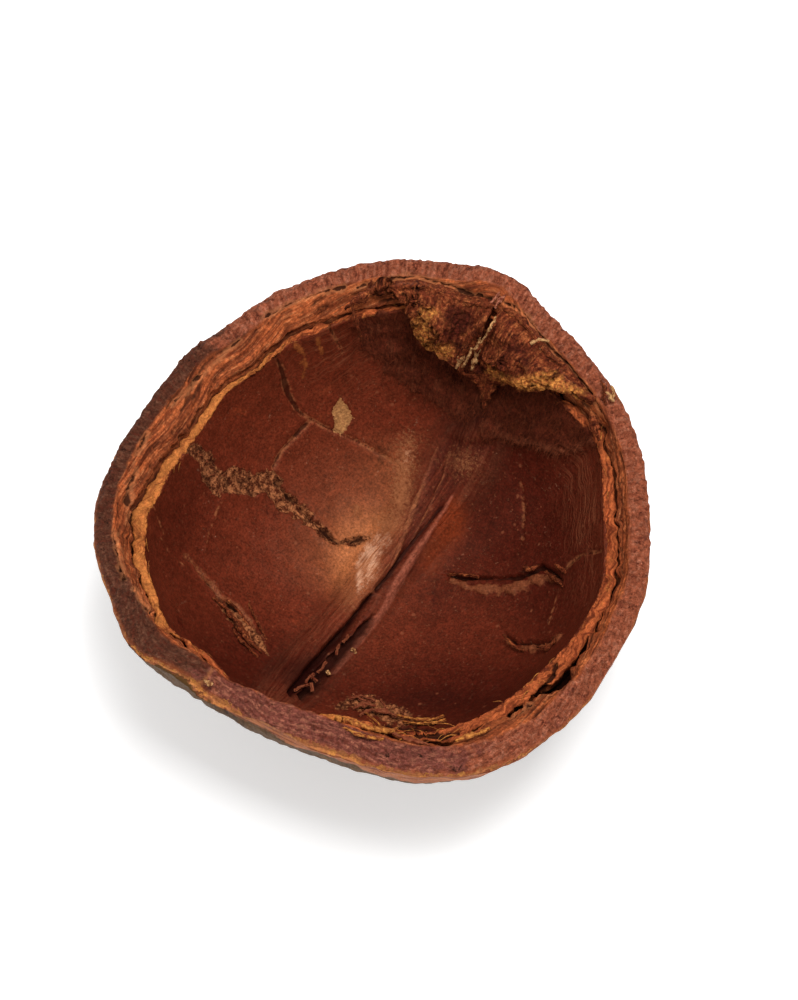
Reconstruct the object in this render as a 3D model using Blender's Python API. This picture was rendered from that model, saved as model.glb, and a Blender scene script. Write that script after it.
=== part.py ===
"""One valve of a dried woody seed capsule, lying on its back with its hollow side up.

The valve is one solid. A thick husk ends in a broad rim whose face slopes down and out. A thin lining is
split from the husk by a crack, which opens into a gap on one side. A septum runs down the middle as a low
keel and opens into a slot, and torn tissue in two lobes hangs under the stem end. The stem end points
along +Y. Lengths are millimetres until the points are placed, and metres from there on.
"""

import math

import bmesh
import bpy
from mathutils import Vector

MM = 0.001
WELD_GAP = 4e-6

# Driving dimensions of the rim, seen from above: a round with swellings of (degrees, height, spread)
RIM_RADIUS = 46.0
SWELLINGS = (
    (0, 1.9, 20),
    (90, 2.4, 5),
    (108, 1.7, 18),
    (222, 3.2, 18),
    (242, 2.8, 9),
    (270, -0.9, 7),
    (300, 2.6, 10),
    (317, 5.6, 13),
    (338, 2.2, 12),
)
KNOBS = ((141, 0.5, 2.5), (153, -0.4, 3), (163, 0.5, 3), (186, -0.5, 4), (203, 0.5, 4), (12, 0.4, 4))

# Driving heights above the surface that the valve lies on
RIM_HEIGHT = 38.0
SADDLE = 4.5
RIM_RISES = ((90, 1.2, 9), (250, 0.9, 5), (263, -0.8, 5), (158, 0.4, 7), (20, 0.4, 9))
FLOOR_HEIGHT = 5.0
REST_SINK = 0.5

# The wall, from the outer edge of the rim to the inner face of the lining
WALL = 8.6
WALL_SWELLINGS = ((325, 3.4, 20), (270, -3.0, 9), (178, 0.9, 22))
BAND = 4.7
BAND_SWELLINGS = ((300, 1.2, 28), (120, -0.6, 20))
BAND_RISE = 1.5
STRIP_DROP = 2.0
LINING_DROP = 2.4
LINING_TORN = ((185, 1.6, 26), (318, 1.2, 14), (52, 0.8, 9), (232, 0.7, 8))
LINING_EDGE = 1.3
CRACK_WIDTH = 0.6
CRACK_DEPTH = 1.6
GAP_SWELLINGS = ((322, 2.0, 14), (345, 0.9, 9), (205, 0.5, 14))
GAP_DEEPER = ((320, 4.2, 16), (205, 0.8, 16))

# How full the two profiles are, 2 being an ellipse, and where they stop short of upright
INNER_FULLNESS = 2.3
OUTER_FULLNESS = 2.2
END_ANGLE = 74.0
END_ANGLE_SWING = 9.0

# The furrow down the middle of the back, and the low lumps of the skin
FURROW_DEPTH = 1.3
FURROW_SPREAD = 13
LUMP_HEIGHT = 0.35

# The mesh: segments round the valve and the ring where each stretch of the profile ends
SEGMENTS = 108
RINGS = 42
REST_RING = 2
SKIN_RING = 13
BAND_RING = 17
STRIP_RING = 19
LINING_RING = 23

# The septum, as points seen from above with half width and height above the floor
SEPTUM = (
    (1.9, 35.2, 3.4, 0.9),
    (2.9, 31.6, 5.4, 1.7),
    (2.6, 27.0, 6.2, 2.1),
    (1.5, 22.0, 5.9, 2.1),
    (0.3, 17.0, 5.2, 2.1),
    (-0.7, 12.0, 4.7, 2.3),
    (-1.7, 6.0, 4.5, 2.6),
    (-2.4, -1.0, 4.5, 2.8),
    (-2.9, -9.0, 4.7, 2.9),
    (-3.6, -17.0, 4.8, 2.7),
    (-3.9, -24.6, 4.5, 2.2),
    (-3.7, -30.1, 3.7, 1.6),
    (-3.4, -33.6, 2.4, 0.9),
)

SEPTUM_FLARE = 1.4
SEPTUM_ROOT = 0.6
SEPTUM_FOOT = 1.8

# The slot along the septum and the cracks of the lining: points seen from above, width, depth
SLOT = ((0.7, 11.0, 0.7, 1.6), (-1.0, 4.0, 1.2, 2.4), (-2.0, -3.0, 1.6, 3.0), (-2.9, -10.0, 2.4, 3.4),
        (-3.8, -17.0, 3.0, 3.6), (-4.2, -23.5, 2.6, 3.2), (-4.1, -29.5, 1.2, 2.0))
CRACKS = {
    "broad_crack": (
        (-37.8, -3.8, 1.0, 0.7), (-36.3, -0.8, 2.6, 1.1), (-33.7, 0.6, 2.8, 1.2), (-30.7, 2.6, 4.6, 1.4),
        (-26.8, 4.7, 5.0, 1.5), (-23.1, 6.0, 4.2, 1.5), (-18.7, 6.0, 3.0, 1.4), (-13.8, 6.2, 2.2, 1.2),
        (-10.5, 7.3, 1.8, 1.0), (-7.8, 9.2, 1.4, 0.8), (-5.7, 11.6, 0.9, 0.5)),
    "upper_crack": (
        (-30.1, 22.6, 0.7, 0.6), (-28.5, 20.6, 0.9, 0.8), (-25.9, 21.4, 0.9, 0.8), (-23.5, 19.6, 1.0, 0.9),
        (-20.5, 21.0, 0.9, 0.8), (-16.0, 20.4, 0.8, 0.7), (-10.5, 20.6, 0.6, 0.5)),
    "slit_crack": (
        (-31.1, -13.0, 0.8, 0.6), (-27.0, -13.6, 1.3, 1.2), (-21.5, -15.4, 1.8, 1.5),
        (-16.1, -17.2, 1.8, 1.4), (-11.5, -19.2, 0.8, 0.6)),
    "right_crack": (
        (7.7, 10.6, 0.6, 0.5), (13.5, 10.6, 1.6, 1.2), (18.8, 12.0, 1.8, 1.4), (23.1, 13.8, 2.2, 1.4),
        (26.9, 13.0, 1.2, 1.0), (30.1, 14.2, 0.8, 0.8), (33.1, 15.0, 0.6, 0.5)),
    "low_crack": (
        (20.5, 5.6, 0.6, 0.5), (23.9, 2.6, 1.2, 0.9), (28.5, 1.0, 1.4, 1.0), (32.9, 1.6, 0.8, 0.6)),
}

GROOVE_FOOT = 0.22
SLOT_LIFT = 4.2
CRACK_LIFT = 1.3

# The torn tissue under the stem end: each lobe's two ends in degrees and its lip's lowest drop
LOBES = {"left_lobe": (94.0, 119.0, 15.5), "right_lobe": (91.6, 60.0, 14.5)}
LOBE_STEPS = 12
LOBE_END_DROP = 3.2
LOBE_STAND_OFF = 3.6
LOBE_THICKNESS = 2.0
LOBE_BULGE = 0.7
SCALLOP = 1.2


def near(degrees, bumps):
    """Sum of bell-shaped bumps (degrees, height, spread) at an angle round the valve."""
    total = 0.0
    for at, height, spread in bumps:
        away = (degrees - at + 180) % 360 - 180
        total += height * math.exp(-0.5 * (away / spread) ** 2)
    return total


def swing(degrees):
    """1 at the stem and tip ends, -1 at the two sides."""
    return -math.cos(2 * math.radians(degrees))


def rim_radius(degrees):
    return RIM_RADIUS + near(degrees, SWELLINGS) + near(degrees, KNOBS)


def rim_height(degrees):
    return RIM_HEIGHT + SADDLE * swing(degrees) + near(degrees, RIM_RISES)


def band_width(degrees):
    return BAND + near(degrees, BAND_SWELLINGS)


def lining_width(degrees):
    return WALL + near(degrees, WALL_SWELLINGS)


def gap_width(degrees):
    return CRACK_WIDTH + near(degrees, GAP_SWELLINGS)


def gap_depth(degrees):
    return CRACK_DEPTH + near(degrees, GAP_DEEPER)


def end_angle(degrees):
    return math.radians(END_ANGLE + END_ANGLE_SWING * swing(degrees))


def bowl(edge_radius, edge_height, bottom, end, fullness):
    """Full radius and centre height of the curve that passes through the edge and touches the bottom."""
    power = 2 / fullness
    share = math.cos(end) ** power
    centre = (edge_height - bottom * share) / (1 - share)
    return edge_radius / math.sin(end) ** power, centre


def lining_bowl(degrees):
    edge = rim_height(degrees) - LINING_DROP - near(degrees, LINING_TORN)
    radius = rim_radius(degrees) - lining_width(degrees)
    return bowl(radius, edge, FLOOR_HEIGHT, end_angle(degrees), INNER_FULLNESS)


def lining_point(degrees, turn):
    """Radius and height of the lining at a profile angle, 0 at the floor's middle."""
    radius, centre = lining_bowl(degrees)
    power = 2 / INNER_FULLNESS
    return radius * math.sin(turn) ** power, centre - (centre - FLOOR_HEIGHT) * math.cos(turn) ** power


def lining_height(x, y):
    """Height of the lining under a point seen from above."""
    degrees = math.degrees(math.atan2(y, x))
    radius, centre = lining_bowl(degrees)
    share = min(1.0, math.hypot(x, y) / radius)
    turn = math.asin(share ** (INNER_FULLNESS / 2))
    return centre - (centre - FLOOR_HEIGHT) * math.cos(turn) ** (2 / INNER_FULLNESS)


def skin_point(degrees, share):
    """Radius and height of the outer skin, from the edge of the rest spot (0) to the rim (1)."""
    end = end_angle(degrees)
    power = 2 / OUTER_FULLNESS
    radius, centre = bowl(rim_radius(degrees), rim_height(degrees), -REST_SINK, end, OUTER_FULLNESS)
    start = math.acos((centre / (centre + REST_SINK)) ** (1 / power))
    turn = start + (end - start) * share
    middle = math.sin(math.pi * share)
    furrow = FURROW_DEPTH * near(degrees, ((90, 1, FURROW_SPREAD), (270, 1, FURROW_SPREAD)))
    waves = math.sin(math.radians(5 * degrees) + 6 * share) + math.sin(math.radians(8 * degrees) - 9 * share)
    reach = radius * math.sin(turn) ** power + middle * (LUMP_HEIGHT * waves - furrow)
    return reach, centre - (centre + REST_SINK) * math.cos(turn) ** power


def rim_point(degrees, ring):
    """Radius and height across the rim: sloping band, strip, gap and the lining's cut edge."""
    outer = rim_radius(degrees)
    height = rim_height(degrees)
    band = band_width(degrees)
    lining = outer - lining_width(degrees)
    lining_top = height - LINING_DROP - near(degrees, LINING_TORN)
    lip = lining + LINING_EDGE
    gap_lip = lip + gap_width(degrees)
    if ring <= BAND_RING:
        share = (ring - SKIN_RING) / (BAND_RING - SKIN_RING)
        crown = 0.5 * math.sin(math.pi * min(1.0, share + 0.15))
        return outer - 0.35 - (band - 0.35) * share, height + 0.3 + BAND_RISE * share * 0.8 + crown
    if ring <= STRIP_RING:
        share = (ring - BAND_RING) / (STRIP_RING - BAND_RING)
        start = outer - band
        top = height + 0.3 + BAND_RISE * 0.8
        return start + (gap_lip - start) * share, top - (BAND_RISE + STRIP_DROP) * share ** 1.3
    floor = min(lining_top, height - STRIP_DROP) - gap_depth(degrees)
    if ring == STRIP_RING + 1:
        return gap_lip - 0.15 * gap_width(degrees), floor
    if ring == STRIP_RING + 2:
        return lip + 0.15 * gap_width(degrees), floor
    if ring == STRIP_RING + 3:
        return lip, lining_top - 0.1
    return lining + 0.25, lining_top + 0.15


def valve_point(degrees, ring):
    """Radius and height of a ring of the sphere, from the middle of the back to the middle of the floor."""
    if ring <= REST_RING:
        reach, _height = skin_point(degrees, 0.0)
        return reach * ring / REST_RING, 0.0
    if ring < SKIN_RING:
        return skin_point(degrees, (ring - REST_RING) / (SKIN_RING - REST_RING))
    if ring <= LINING_RING:
        return rim_point(degrees, ring)
    share = (RINGS - ring) / (RINGS - LINING_RING)
    return lining_point(degrees, end_angle(degrees) * share)


def make_shell():
    """The husk, rim and lining: a sphere whose rings are moved to the valve's profile."""
    bm = bmesh.new()
    bmesh.ops.create_uvsphere(bm, u_segments=SEGMENTS, v_segments=RINGS, radius=1.0)
    for vert in bm.verts:
        x, y, z = vert.co
        ring = round((math.asin(max(-1.0, min(1.0, z))) / math.pi + 0.5) * RINGS)
        degrees = math.degrees(math.atan2(y, x))
        reach, height = valve_point(degrees, ring)
        turn = math.radians(degrees)
        vert.co = Vector((reach * math.cos(turn), reach * math.sin(turn), height)) * MM
    return mesh_object("pod_valve", bm)


def mesh_object(name, bm):
    mesh = bpy.data.meshes.new(name)
    bm.to_mesh(mesh)
    bm.free()
    return bpy.data.objects.new(name, mesh)


def loft(name, sections):
    """A closed body through a row of sections that have the same number of points, in millimetres."""
    bm = bmesh.new()
    rows = [[bm.verts.new(point * MM) for point in section] for section in sections]
    count = len(sections[0])
    for low, high in zip(rows, rows[1:]):
        for step in range(count):
            after = (step + 1) % count
            bm.faces.new((low[step], low[after], high[after], high[step]))
    bm.faces.new(rows[0])
    bm.faces.new(rows[-1])
    bmesh.ops.recalc_face_normals(bm, faces=bm.faces)
    return mesh_object(name, bm)


def on_lining(x, y):
    """The point of the lining under a point seen from above, and its normal into the hollow."""
    step = 0.5
    here = Vector((x, y, lining_height(x, y)))
    along = Vector((2 * step, 0, lining_height(x + step, y) - lining_height(x - step, y)))
    across = Vector((0, 2 * step, lining_height(x, y + step) - lining_height(x, y - step)))
    return here, along.cross(across).normalized()


def follow_lining(path):
    """For each point of a path: its place on the lining, the normal there, and the way across the path."""
    places = [on_lining(point[0], point[1]) for point in path]
    last = len(path) - 1
    frames = []
    for index, (here, normal) in enumerate(places):
        ahead = places[min(index + 1, last)][0] - places[max(index - 1, 0)][0]
        frames.append((here, normal, ahead.cross(normal).normalized()))
    return frames


def make_septum():
    """The low keel down the middle, as an arched strip that follows the lining."""
    sections = []
    for (_x, _y, half, height), (here, normal, across) in zip(SEPTUM, follow_lining(SEPTUM)):
        section = []
        for share in (-1, -0.72, -0.36, 0, 0.36, 0.72, 1):
            rise = height * (1 - share * share) ** SEPTUM_FLARE - SEPTUM_ROOT * share ** 4
            section.append(here + across * half * share + normal * rise)
        section.append(here + across * half * 0.6 - normal * SEPTUM_FOOT)
        section.append(here - across * half * 0.6 - normal * SEPTUM_FOOT)
        sections.append(section)
    return loft("septum", sections)


def make_groove(name, path, lift):
    """A tapering groove cutter that follows the lining and reaches above it by the lift."""
    sections = []
    for (_x, _y, width, depth), (here, normal, across) in zip(path, follow_lining(path)):
        foot = across * width * GROOVE_FOOT
        brim = across * width * (0.5 + (0.5 - GROOVE_FOOT) * lift / depth)
        top = here + normal * lift
        bottom = here - normal * depth
        sections.append([top - brim, bottom - foot, bottom + foot, top + brim])
    return loft(name, sections)


def wall_radius(degrees, height):
    """Radius of the lining at a height."""
    radius, centre = lining_bowl(degrees)
    share = min(1.0, max(0.0, (centre - height) / (centre - FLOOR_HEIGHT)))
    return radius * math.sin(math.acos(share ** (INNER_FULLNESS / 2))) ** (2 / INNER_FULLNESS)


def make_lobe(name, start, end, drop):
    """Torn tissue that hangs from the rim over the lining, deepest beside the stem groove."""
    sections = []
    for step in range(LOBE_STEPS + 1):
        share = step / LOBE_STEPS
        degrees = start + (end - start) * share
        turn = math.radians(degrees)
        top = rim_height(degrees) + 0.6
        band_edge = rim_radius(degrees) - band_width(degrees)
        fall = LOBE_END_DROP + drop * (1 - share) ** 0.8 + SCALLOP * (1 - 0.7 * share) * math.sin(17 * share)
        lip = top - fall
        wall = wall_radius(degrees, lip)
        front = wall - LOBE_STAND_OFF * (1 - 0.6 * share)
        thickness = LOBE_THICKNESS * (1 - 0.5 * share)
        profile = ((band_edge + 1.0, top), (band_edge - 0.8, top - 0.9),
                   ((band_edge + front) / 2 - LOBE_BULGE, (top + lip) / 2), (front, lip),
                   (front + 0.6, lip - thickness), (wall + 2.0, lip - 0.2), (wall + 3.0, lip + fall * 0.5))
        sections.append([Vector((r * math.cos(turn), r * math.sin(turn), z)) for r, z in profile])
    return loft(name, sections)


def make_woody_finish():
    """Satin red-brown wood."""
    material = bpy.data.materials.new("dry_husk")
    material.use_nodes = True
    shader = material.node_tree.nodes["Principled BSDF"]
    shader.inputs["Base Color"].default_value = (0.16, 0.035, 0.014, 1)
    shader.inputs["Roughness"].default_value = 0.6
    shader.inputs["Metallic"].default_value = 0.0
    return material


def combine(valve, tool, operation, helpers):
    """Joins a helper body to the valve, or cuts the valve with it."""
    helpers.objects.link(tool)
    tool.hide_render = True
    tool.display_type = "WIRE"
    change = valve.modifiers.new(tool.name, "BOOLEAN")
    change.operation = operation
    change.solver = "EXACT"
    change.object = tool


def centre_on_origin(objects, valve):
    """Stands the valve with the middle of its box over the origin."""
    middle = sum((Vector(corner) for corner in valve.bound_box), Vector()) / 8
    for item in objects:
        item.location = (-middle.x, -middle.y, 0)


def main():
    for item in list(bpy.data.objects):
        bpy.data.objects.remove(item)
    pod = bpy.data.collections.new("seed_pod_valve")
    helpers = bpy.data.collections.new("cutters")
    bpy.context.scene.collection.children.link(pod)
    bpy.context.scene.collection.children.link(helpers)

    valve = make_shell()
    pod.objects.link(valve)
    valve.data.materials.append(make_woody_finish())
    combine(valve, make_septum(), "UNION", helpers)
    for name, (start, end, drop) in LOBES.items():
        combine(valve, make_lobe(name, start, end, drop), "UNION", helpers)
    combine(valve, make_groove("septum_slot", SLOT, SLOT_LIFT), "DIFFERENCE", helpers)
    for name, path in CRACKS.items():
        combine(valve, make_groove(name, path, CRACK_LIFT), "DIFFERENCE", helpers)
    tidy = valve.modifiers.new("slivers", "WELD")
    tidy.merge_threshold = WELD_GAP
    valve.modifiers.new("facets", "TRIANGULATE")
    centre_on_origin([valve, *helpers.objects], valve)
    valve.data.shade_smooth()
    valve.data.set_sharp_from_angle(angle=math.radians(40))


main()
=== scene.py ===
"""The looks of one valve of a dried woody seed capsule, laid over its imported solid."""

import math

import bpy
import numpy as np
from mathutils import Matrix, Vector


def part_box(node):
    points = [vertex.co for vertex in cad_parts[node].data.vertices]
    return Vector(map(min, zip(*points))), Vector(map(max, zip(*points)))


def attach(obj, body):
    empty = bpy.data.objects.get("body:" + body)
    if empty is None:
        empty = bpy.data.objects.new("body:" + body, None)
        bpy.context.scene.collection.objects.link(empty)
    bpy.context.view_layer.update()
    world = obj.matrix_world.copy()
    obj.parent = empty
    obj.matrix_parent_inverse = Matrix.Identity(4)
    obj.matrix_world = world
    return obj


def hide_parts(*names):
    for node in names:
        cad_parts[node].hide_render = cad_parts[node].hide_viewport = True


bl_info = {
    "name": "Dried Seed Pod Valve",
    "version": (1, 0, 0),
    "blender": (4, 5, 0),
    "location": "View3D > Sidebar > Seed Pod",
    "description": "Builds a dried seed capsule valve with its husk, lining, keel and torn tissue",
    "category": "Add Mesh",
}

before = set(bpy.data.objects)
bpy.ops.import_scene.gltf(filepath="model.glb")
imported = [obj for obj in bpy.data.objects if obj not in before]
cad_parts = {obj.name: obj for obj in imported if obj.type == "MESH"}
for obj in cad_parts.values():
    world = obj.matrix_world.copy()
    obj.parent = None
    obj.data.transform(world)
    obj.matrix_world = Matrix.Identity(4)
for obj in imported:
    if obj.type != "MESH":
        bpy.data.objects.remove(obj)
CAD_LOW, CAD_HIGH = (np.array(corner) * 1000 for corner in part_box("pod_valve"))
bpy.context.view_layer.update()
BODY = "root"
MM = 0.001

# The rim from above, in millimetres: a round with swellings of (degrees, height, spread)
RIM_RADIUS = 46.0
SWELLINGS = ((0, 1.9, 20), (90, 2.4, 5), (108, 1.7, 18), (222, 3.2, 18), (242, 2.8, 9), (270, -0.9, 7),
             (300, 2.6, 10), (317, 5.6, 13), (338, 2.2, 12))
KNOBS = ((141, 0.5, 2.5), (153, -0.4, 3), (163, 0.5, 3), (186, -0.5, 4), (203, 0.5, 4), (12, 0.4, 4))
RIM_HEIGHT = 38.0
SADDLE = 4.5
RIM_TRIMS = ((273, 3.2, 11), (231, -1.2, 9), (48, 0.8, 10), (188, 0.8, 4))
RIM_RISES = ((90, 1.2, 9), (250, 0.9, 5), (263, -0.8, 5), (158, 0.4, 7), (20, 0.4, 9))
FLOOR_HEIGHT = 5.0
REST_SINK = 0.5

# The wall across the rim, as (degrees, millimetres) read round the valve
WALL = 8.6
WALL_SWELLINGS = ((325, 3.4, 20), (270, -3.0, 9), (178, 0.9, 22), (20, -1.0, 20), (50, -1.7, 7))
BAND_WIDTHS = ((0, 4.2), (25, 3.7), (45, 3.5), (60, 3.8), (90, 4.2), (118, 3.8), (150, 3.8), (180, 3.4),
               (202, 3.2), (225, 4.0), (240, 5.6), (262, 5.2), (278, 6.4), (300, 6.0), (325, 4.8),
                (345, 4.2))
SKIN_LAPS = ((0, 0.2), (60, 0.1), (180, 0.2), (225, 0.3), (244, 0.5), (255, 1.6), (265, 1.8), (272, 1.0),
             (285, 0.9), (300, 0.7), (318, 0.5), (340, 0.3))
EDGE_WIDTHS = ((0, 2.2), (28, 2.2), (44, 1.6), (60, 1.0), (120, 0.9), (150, 1.0), (176, 1.5), (200, 2.5),
               (228, 2.1),
               (245, 1.2), (290, 1.2), (312, 2.0), (330, 2.7), (345, 2.4), (355, 2.0))
GAP_WIDTHS = ((0, 0.3), (28, 0.35), (50, 0.3), (118, 0.2), (150, 0.35), (165, 0.2), (190, 0.2), (215, 0.3),
              (240, 0.2), (290, 0.4), (305, 0.8), (313, 2.0), (318, 1.8), (323, 0.5), (330, 0.6), (337, 1.0),
              (346, 1.8), (352, 0.6))
GAP_DEPTHS = ((0, 1.2), (150, 1.2), (205, 1.4), (250, 1.2), (300, 2.4), (315, 5.0), (330, 2.2), (348, 4.0))
BAND_RISE = 1.2
STRIP_DROP = 2.3
LINING_DROP = 2.4
LINING_TORN = ((185, 1.6, 26), (318, 1.2, 14), (52, 0.8, 9), (232, 0.7, 8))
LOW_PART = (258.4, 271.0)
LOW_PART_DROP = 1.2
INNER_FULLNESS = 2.3
OUTER_FULLNESS = 2.2
END_ANGLE = 74.0
END_ANGLE_SWING = 9.0
FURROW_DEPTH = 1.3
FURROW_SPREAD = 13
LUMP_HEIGHT = 0.35
SKIN_INSET = 2.0
LINING_THICKNESS = 1.2

# Where the husk changes its looks, as bumps of (degrees, amount, spread)
HUSK_MARKS = {
    "fringe": ((285, 0.6, 16), (310, 1.0, 16), (350, 0.8, 30), (60, 0.8, 60), (215, 0.6, 20)),
    "radial": ((100, 1.0, 40), (195, 0.7, 25), (20, 0.4, 30)),
    "aged": ((205, 1.0, 26), (243, 1.3, 14), (168, 0.5, 16)),
    "purple": ((275, 0.9, 14), (298, 0.7, 20)),
    "ochre_edge": ((264, 0.5, 4), (280, 1.0, 12), (225, 0.3, 18), (310, 0.5, 14)),
}

# The view of the photograph: degrees, millimetres, and the pixel of a point on the rim's level
VIEW_TURN = math.radians(28.0)
VIEW_TILT = math.radians(62.0)
VIEW_DISTANCE = 1200.0
PIXEL = 0.1706
PICTURE = (798, 1000)
ANCHOR = np.array((-0.5, -2.0, RIM_HEIGHT))
ANCHOR_PIXEL = (369, 518)

# The keel from above: points with half width and height above the floor
KEEL = ((1.9, 35.2, 3.4, 0.9), (2.9, 31.6, 5.4, 1.7), (2.6, 27.0, 6.2, 2.1), (1.5, 22.0, 5.9, 2.1),
        (0.3, 17.0, 5.2, 2.1), (-0.7, 12.0, 4.7, 2.3), (-1.7, 6.0, 4.5, 2.6), (-2.4, -1.0, 4.5, 2.8),
        (-2.9, -9.0, 4.7, 2.9), (-3.6, -17.0, 4.8, 2.7), (-3.9, -24.6, 4.5, 2.2), (-3.7, -30.1, 3.7, 1.6),
        (-3.4, -33.6, 2.4, 0.9))

# Marks on the lining, in pixels of the photograph: (x, y, half width), corners of an outline as (x, y),
# or soft spots as (x, y, reach across, reach down, amount)
BROAD_CRACK = ((173, 452, 3), (188, 448, 4.5), (203, 456, 7), (211, 473, 9), (219, 483, 11), (236, 481, 12),
               (253, 485, 11.5), (268, 483, 11), (280, 498, 9), (295, 508, 7.5), (308, 519, 6),
                (320, 529, 5),
               (333, 539, 3.5), (343, 543, 3), (358, 541, 2.5), (369, 537, 1.5))
BROAD_SHADOW = ((276, 484, 0.2), (282, 490, 0.7), (300, 510, 0.9), (322, 531, 1.0), (337, 543, 0.8),
                (352, 541, 0.7), (366, 537, 0.5), (384, 527, 0.2))
FINE_CRACKS = (
    ((275, 353, 1.2), (283, 372, 2.2), (289, 395, 2.6), (299, 412, 1.4), (308, 418, 0.9), (318, 424, 0.6),
     (340, 434, 0.5), (366, 446, 0.4), (383, 455, 0.5), (398, 466, 0.3)),
    ((312, 420, 0.9), (297, 435, 0.9), (282, 452, 0.7), (273, 468, 0.4)),
    ((325, 321, 0.5), (335, 338, 0.8), (343, 353, 0.4)),
    ((520, 483, 0.2), (524, 510, 0.3), (522, 538, 0.2)),
    ((564, 570, 0.5), (574, 560, 0.7), (586, 554, 0.6), (601, 551, 0.6)),
)
PALE_LINES = (
    ((222, 498, 0.5), (215, 512, 0.6), (209, 529, 0.6), (204, 552, 0.3)),
    ((160, 538, 0.3), (172, 556, 0.5), (190, 570, 0.4)),
    ((503, 470, 0.2), (506, 480, 0.4), (509, 484, 0.2)),
    ((150, 500, 0.4), (158, 520, 0.6), (165, 540, 0.4)),
    ((560, 586, 0.1), (556, 600, 0.2), (548, 629, 0.1)),
)
SLIT = ((186, 556, 0.4), (200, 572, 1.0), (213, 588, 1.5), (222, 600, 1.2), (234, 607, 0.8), (243, 616, 1.3),
        (252, 628, 0.8))
SLIT_TEAR = ((214, 594, 1.0), (226, 607, 4.0), (238, 622, 6.5), (250, 635, 6.5), (261, 646, 4.0),
             (269, 655, 0.8))
RIGHT_CRACK = ((445, 572, 0.3), (463, 578, 0.9), (495, 578, 1.4), (519, 577, 1.8), (530, 572, 1.8),
               (540, 567, 2.6), (552, 573, 1.4), (560, 580, 0.6))
RIGHT_LEDGE = ((452, 582, 0.8), (470, 587, 3.0), (490, 589, 4.2), (514, 588, 4.2), (532, 581, 3.6),
               (546, 577, 4.6),
               (556, 580, 2.5))
LOW_CRACK = ((500, 627, 0.4), (508, 638, 1.0), (516, 643, 1.2), (530, 642, 1.5), (541, 643, 1.2),
             (552, 640, 0.8))
LOW_LEDGE = ((508, 642, 1.0), (516, 648, 2.6), (530, 648, 2.8), (545, 647, 2.6), (556, 641, 2.6),
             (560, 637, 1.5))
LOW_TEAR = ((338, 708, 2), (352, 703, 5), (368, 703, 7), (384, 712, 8), (400, 716, 8), (414, 722, 4))
PATCH = ((340, 399), (347, 405), (354, 418), (345, 431), (341, 436), (334, 431), (334, 418), (331, 411))
FELT_FRINGE = ((496, 436, 1.5), (514, 439, 2.0), (529, 442, 2.4), (545, 447, 3.0), (557, 450, 3.2),
               (572, 450, 3.2),
               (584, 446, 2.8), (597, 440, 1.6))
FELT_RIGHT = ((497, 376), (484, 395), (484, 418), (480, 435), (490, 440), (502, 438), (514, 441), (529, 443),
              (545, 448), (557, 451), (572, 451), (584, 447), (597, 441), (606, 400), (590, 380), (545, 372))
FELT_LEFT = ((347, 300), (353, 318), (360, 336), (367, 346), (379, 357), (390, 372), (408, 386), (424, 392),
             (437, 410), (460, 420), (484, 412), (484, 370), (455, 360), (432, 340), (408, 300), (380, 270))
OCHRE_STREAKS = (
    ((315, 333, 1.0), (320, 347, 1.4), (324, 361, 0.6)),
    ((293, 340, 1.5), (298, 347, 2.2), (305, 355, 0.8)),
    ((303, 357, 1.0), (305, 366, 1.8), (303, 376, 0.6)),
)
VALLEY = ((443, 436), (425, 477), (413, 507), (404, 538), (392, 569), (374, 589), (351, 622), (333, 639),
          (300, 672), (322, 672), (367, 625), (382, 594), (402, 564), (423, 538), (441, 512), (459, 487),
           (474, 466),
          (494, 443))
LEFT_RIDGES = (
    ((437, 448, 0.4), (425, 477, 1.2), (413, 507, 1.7), (404, 535, 1.8), (396, 560, 1.6), (385, 579, 1.3),
     (370, 596, 1.3), (360, 612, 1.2), (350, 628, 0.5)),
    ((412, 512, 0.2), (400, 540, 0.5), (388, 566, 0.6), (372, 585, 0.5), (360, 600, 0.2)),
    ((447, 452, 0.1), (441, 478, 0.4), (431, 500, 0.4), (421, 522, 0.4), (412, 541, 0.1)),
)
RIGHT_RIDGE = ((452, 496, 0.8), (443, 512, 1.4), (432, 529, 2.2), (420, 547, 3.2), (408, 566, 4.0),
               (395, 587, 4.2),
               (386, 606, 3.6), (375, 622, 3.2), (362, 640, 2.8), (348, 657, 2.6), (335, 673, 1.6))
GROOVES = (
    ((441, 507, 0.5), (430, 521, 1.0), (418, 536, 1.6), (404, 554, 2.0), (392, 573, 2.4), (380, 588, 2.8),
     (366, 605, 3.2), (352, 625, 4.6), (344, 635, 5.2), (333, 646, 5.6), (325, 657, 5.6), (315, 667, 5.2),
     (305, 680, 4.8), (295, 691, 4.0)),
    ((374, 618, 1.0), (363, 632, 3.0), (353, 643, 4.2), (345, 651, 4.6), (335, 662, 4.6), (326, 672, 4.6),
     (316, 684, 4.6), (305, 695, 3.5)),
)
RIM_CRACKS = (
    ((352, 290, 0.4), (366, 285, 0.9), (381, 285, 1.6), (393, 277, 1.5), (416, 275, 1.1), (436, 283, 1.0),
     (450, 286, 1.3), (464, 294, 1.3), (485, 299, 0.8), (497, 302, 0.6)),
    ((503, 303, 0.6), (518, 309, 1.0), (528, 317, 0.8), (539, 334, 0.8), (553, 353, 1.1), (567, 364, 1.1),
     (582, 383, 1.1), (594, 399, 1.0), (600, 412, 0.7)),
    ((148, 434, 0.8), (143, 444, 1.6), (138, 452, 0.6)),
    ((137, 470, 0.5), (130, 486, 1.2), (128, 505, 1.3), (131, 521, 0.5)),
    ((114, 530, 0.4), (117, 552, 1.0), (123, 578, 0.6)),
    ((133, 588, 0.5), (149, 610, 1.0), (170, 628, 1.3), (190, 641, 0.7)),
    ((172, 405, 0.4), (196, 382, 0.9), (222, 356, 0.7), (240, 340, 0.4)),
    ((262, 318, 0.4), (290, 303, 0.8), (322, 291, 0.6), (344, 288, 0.4)),
)
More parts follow.
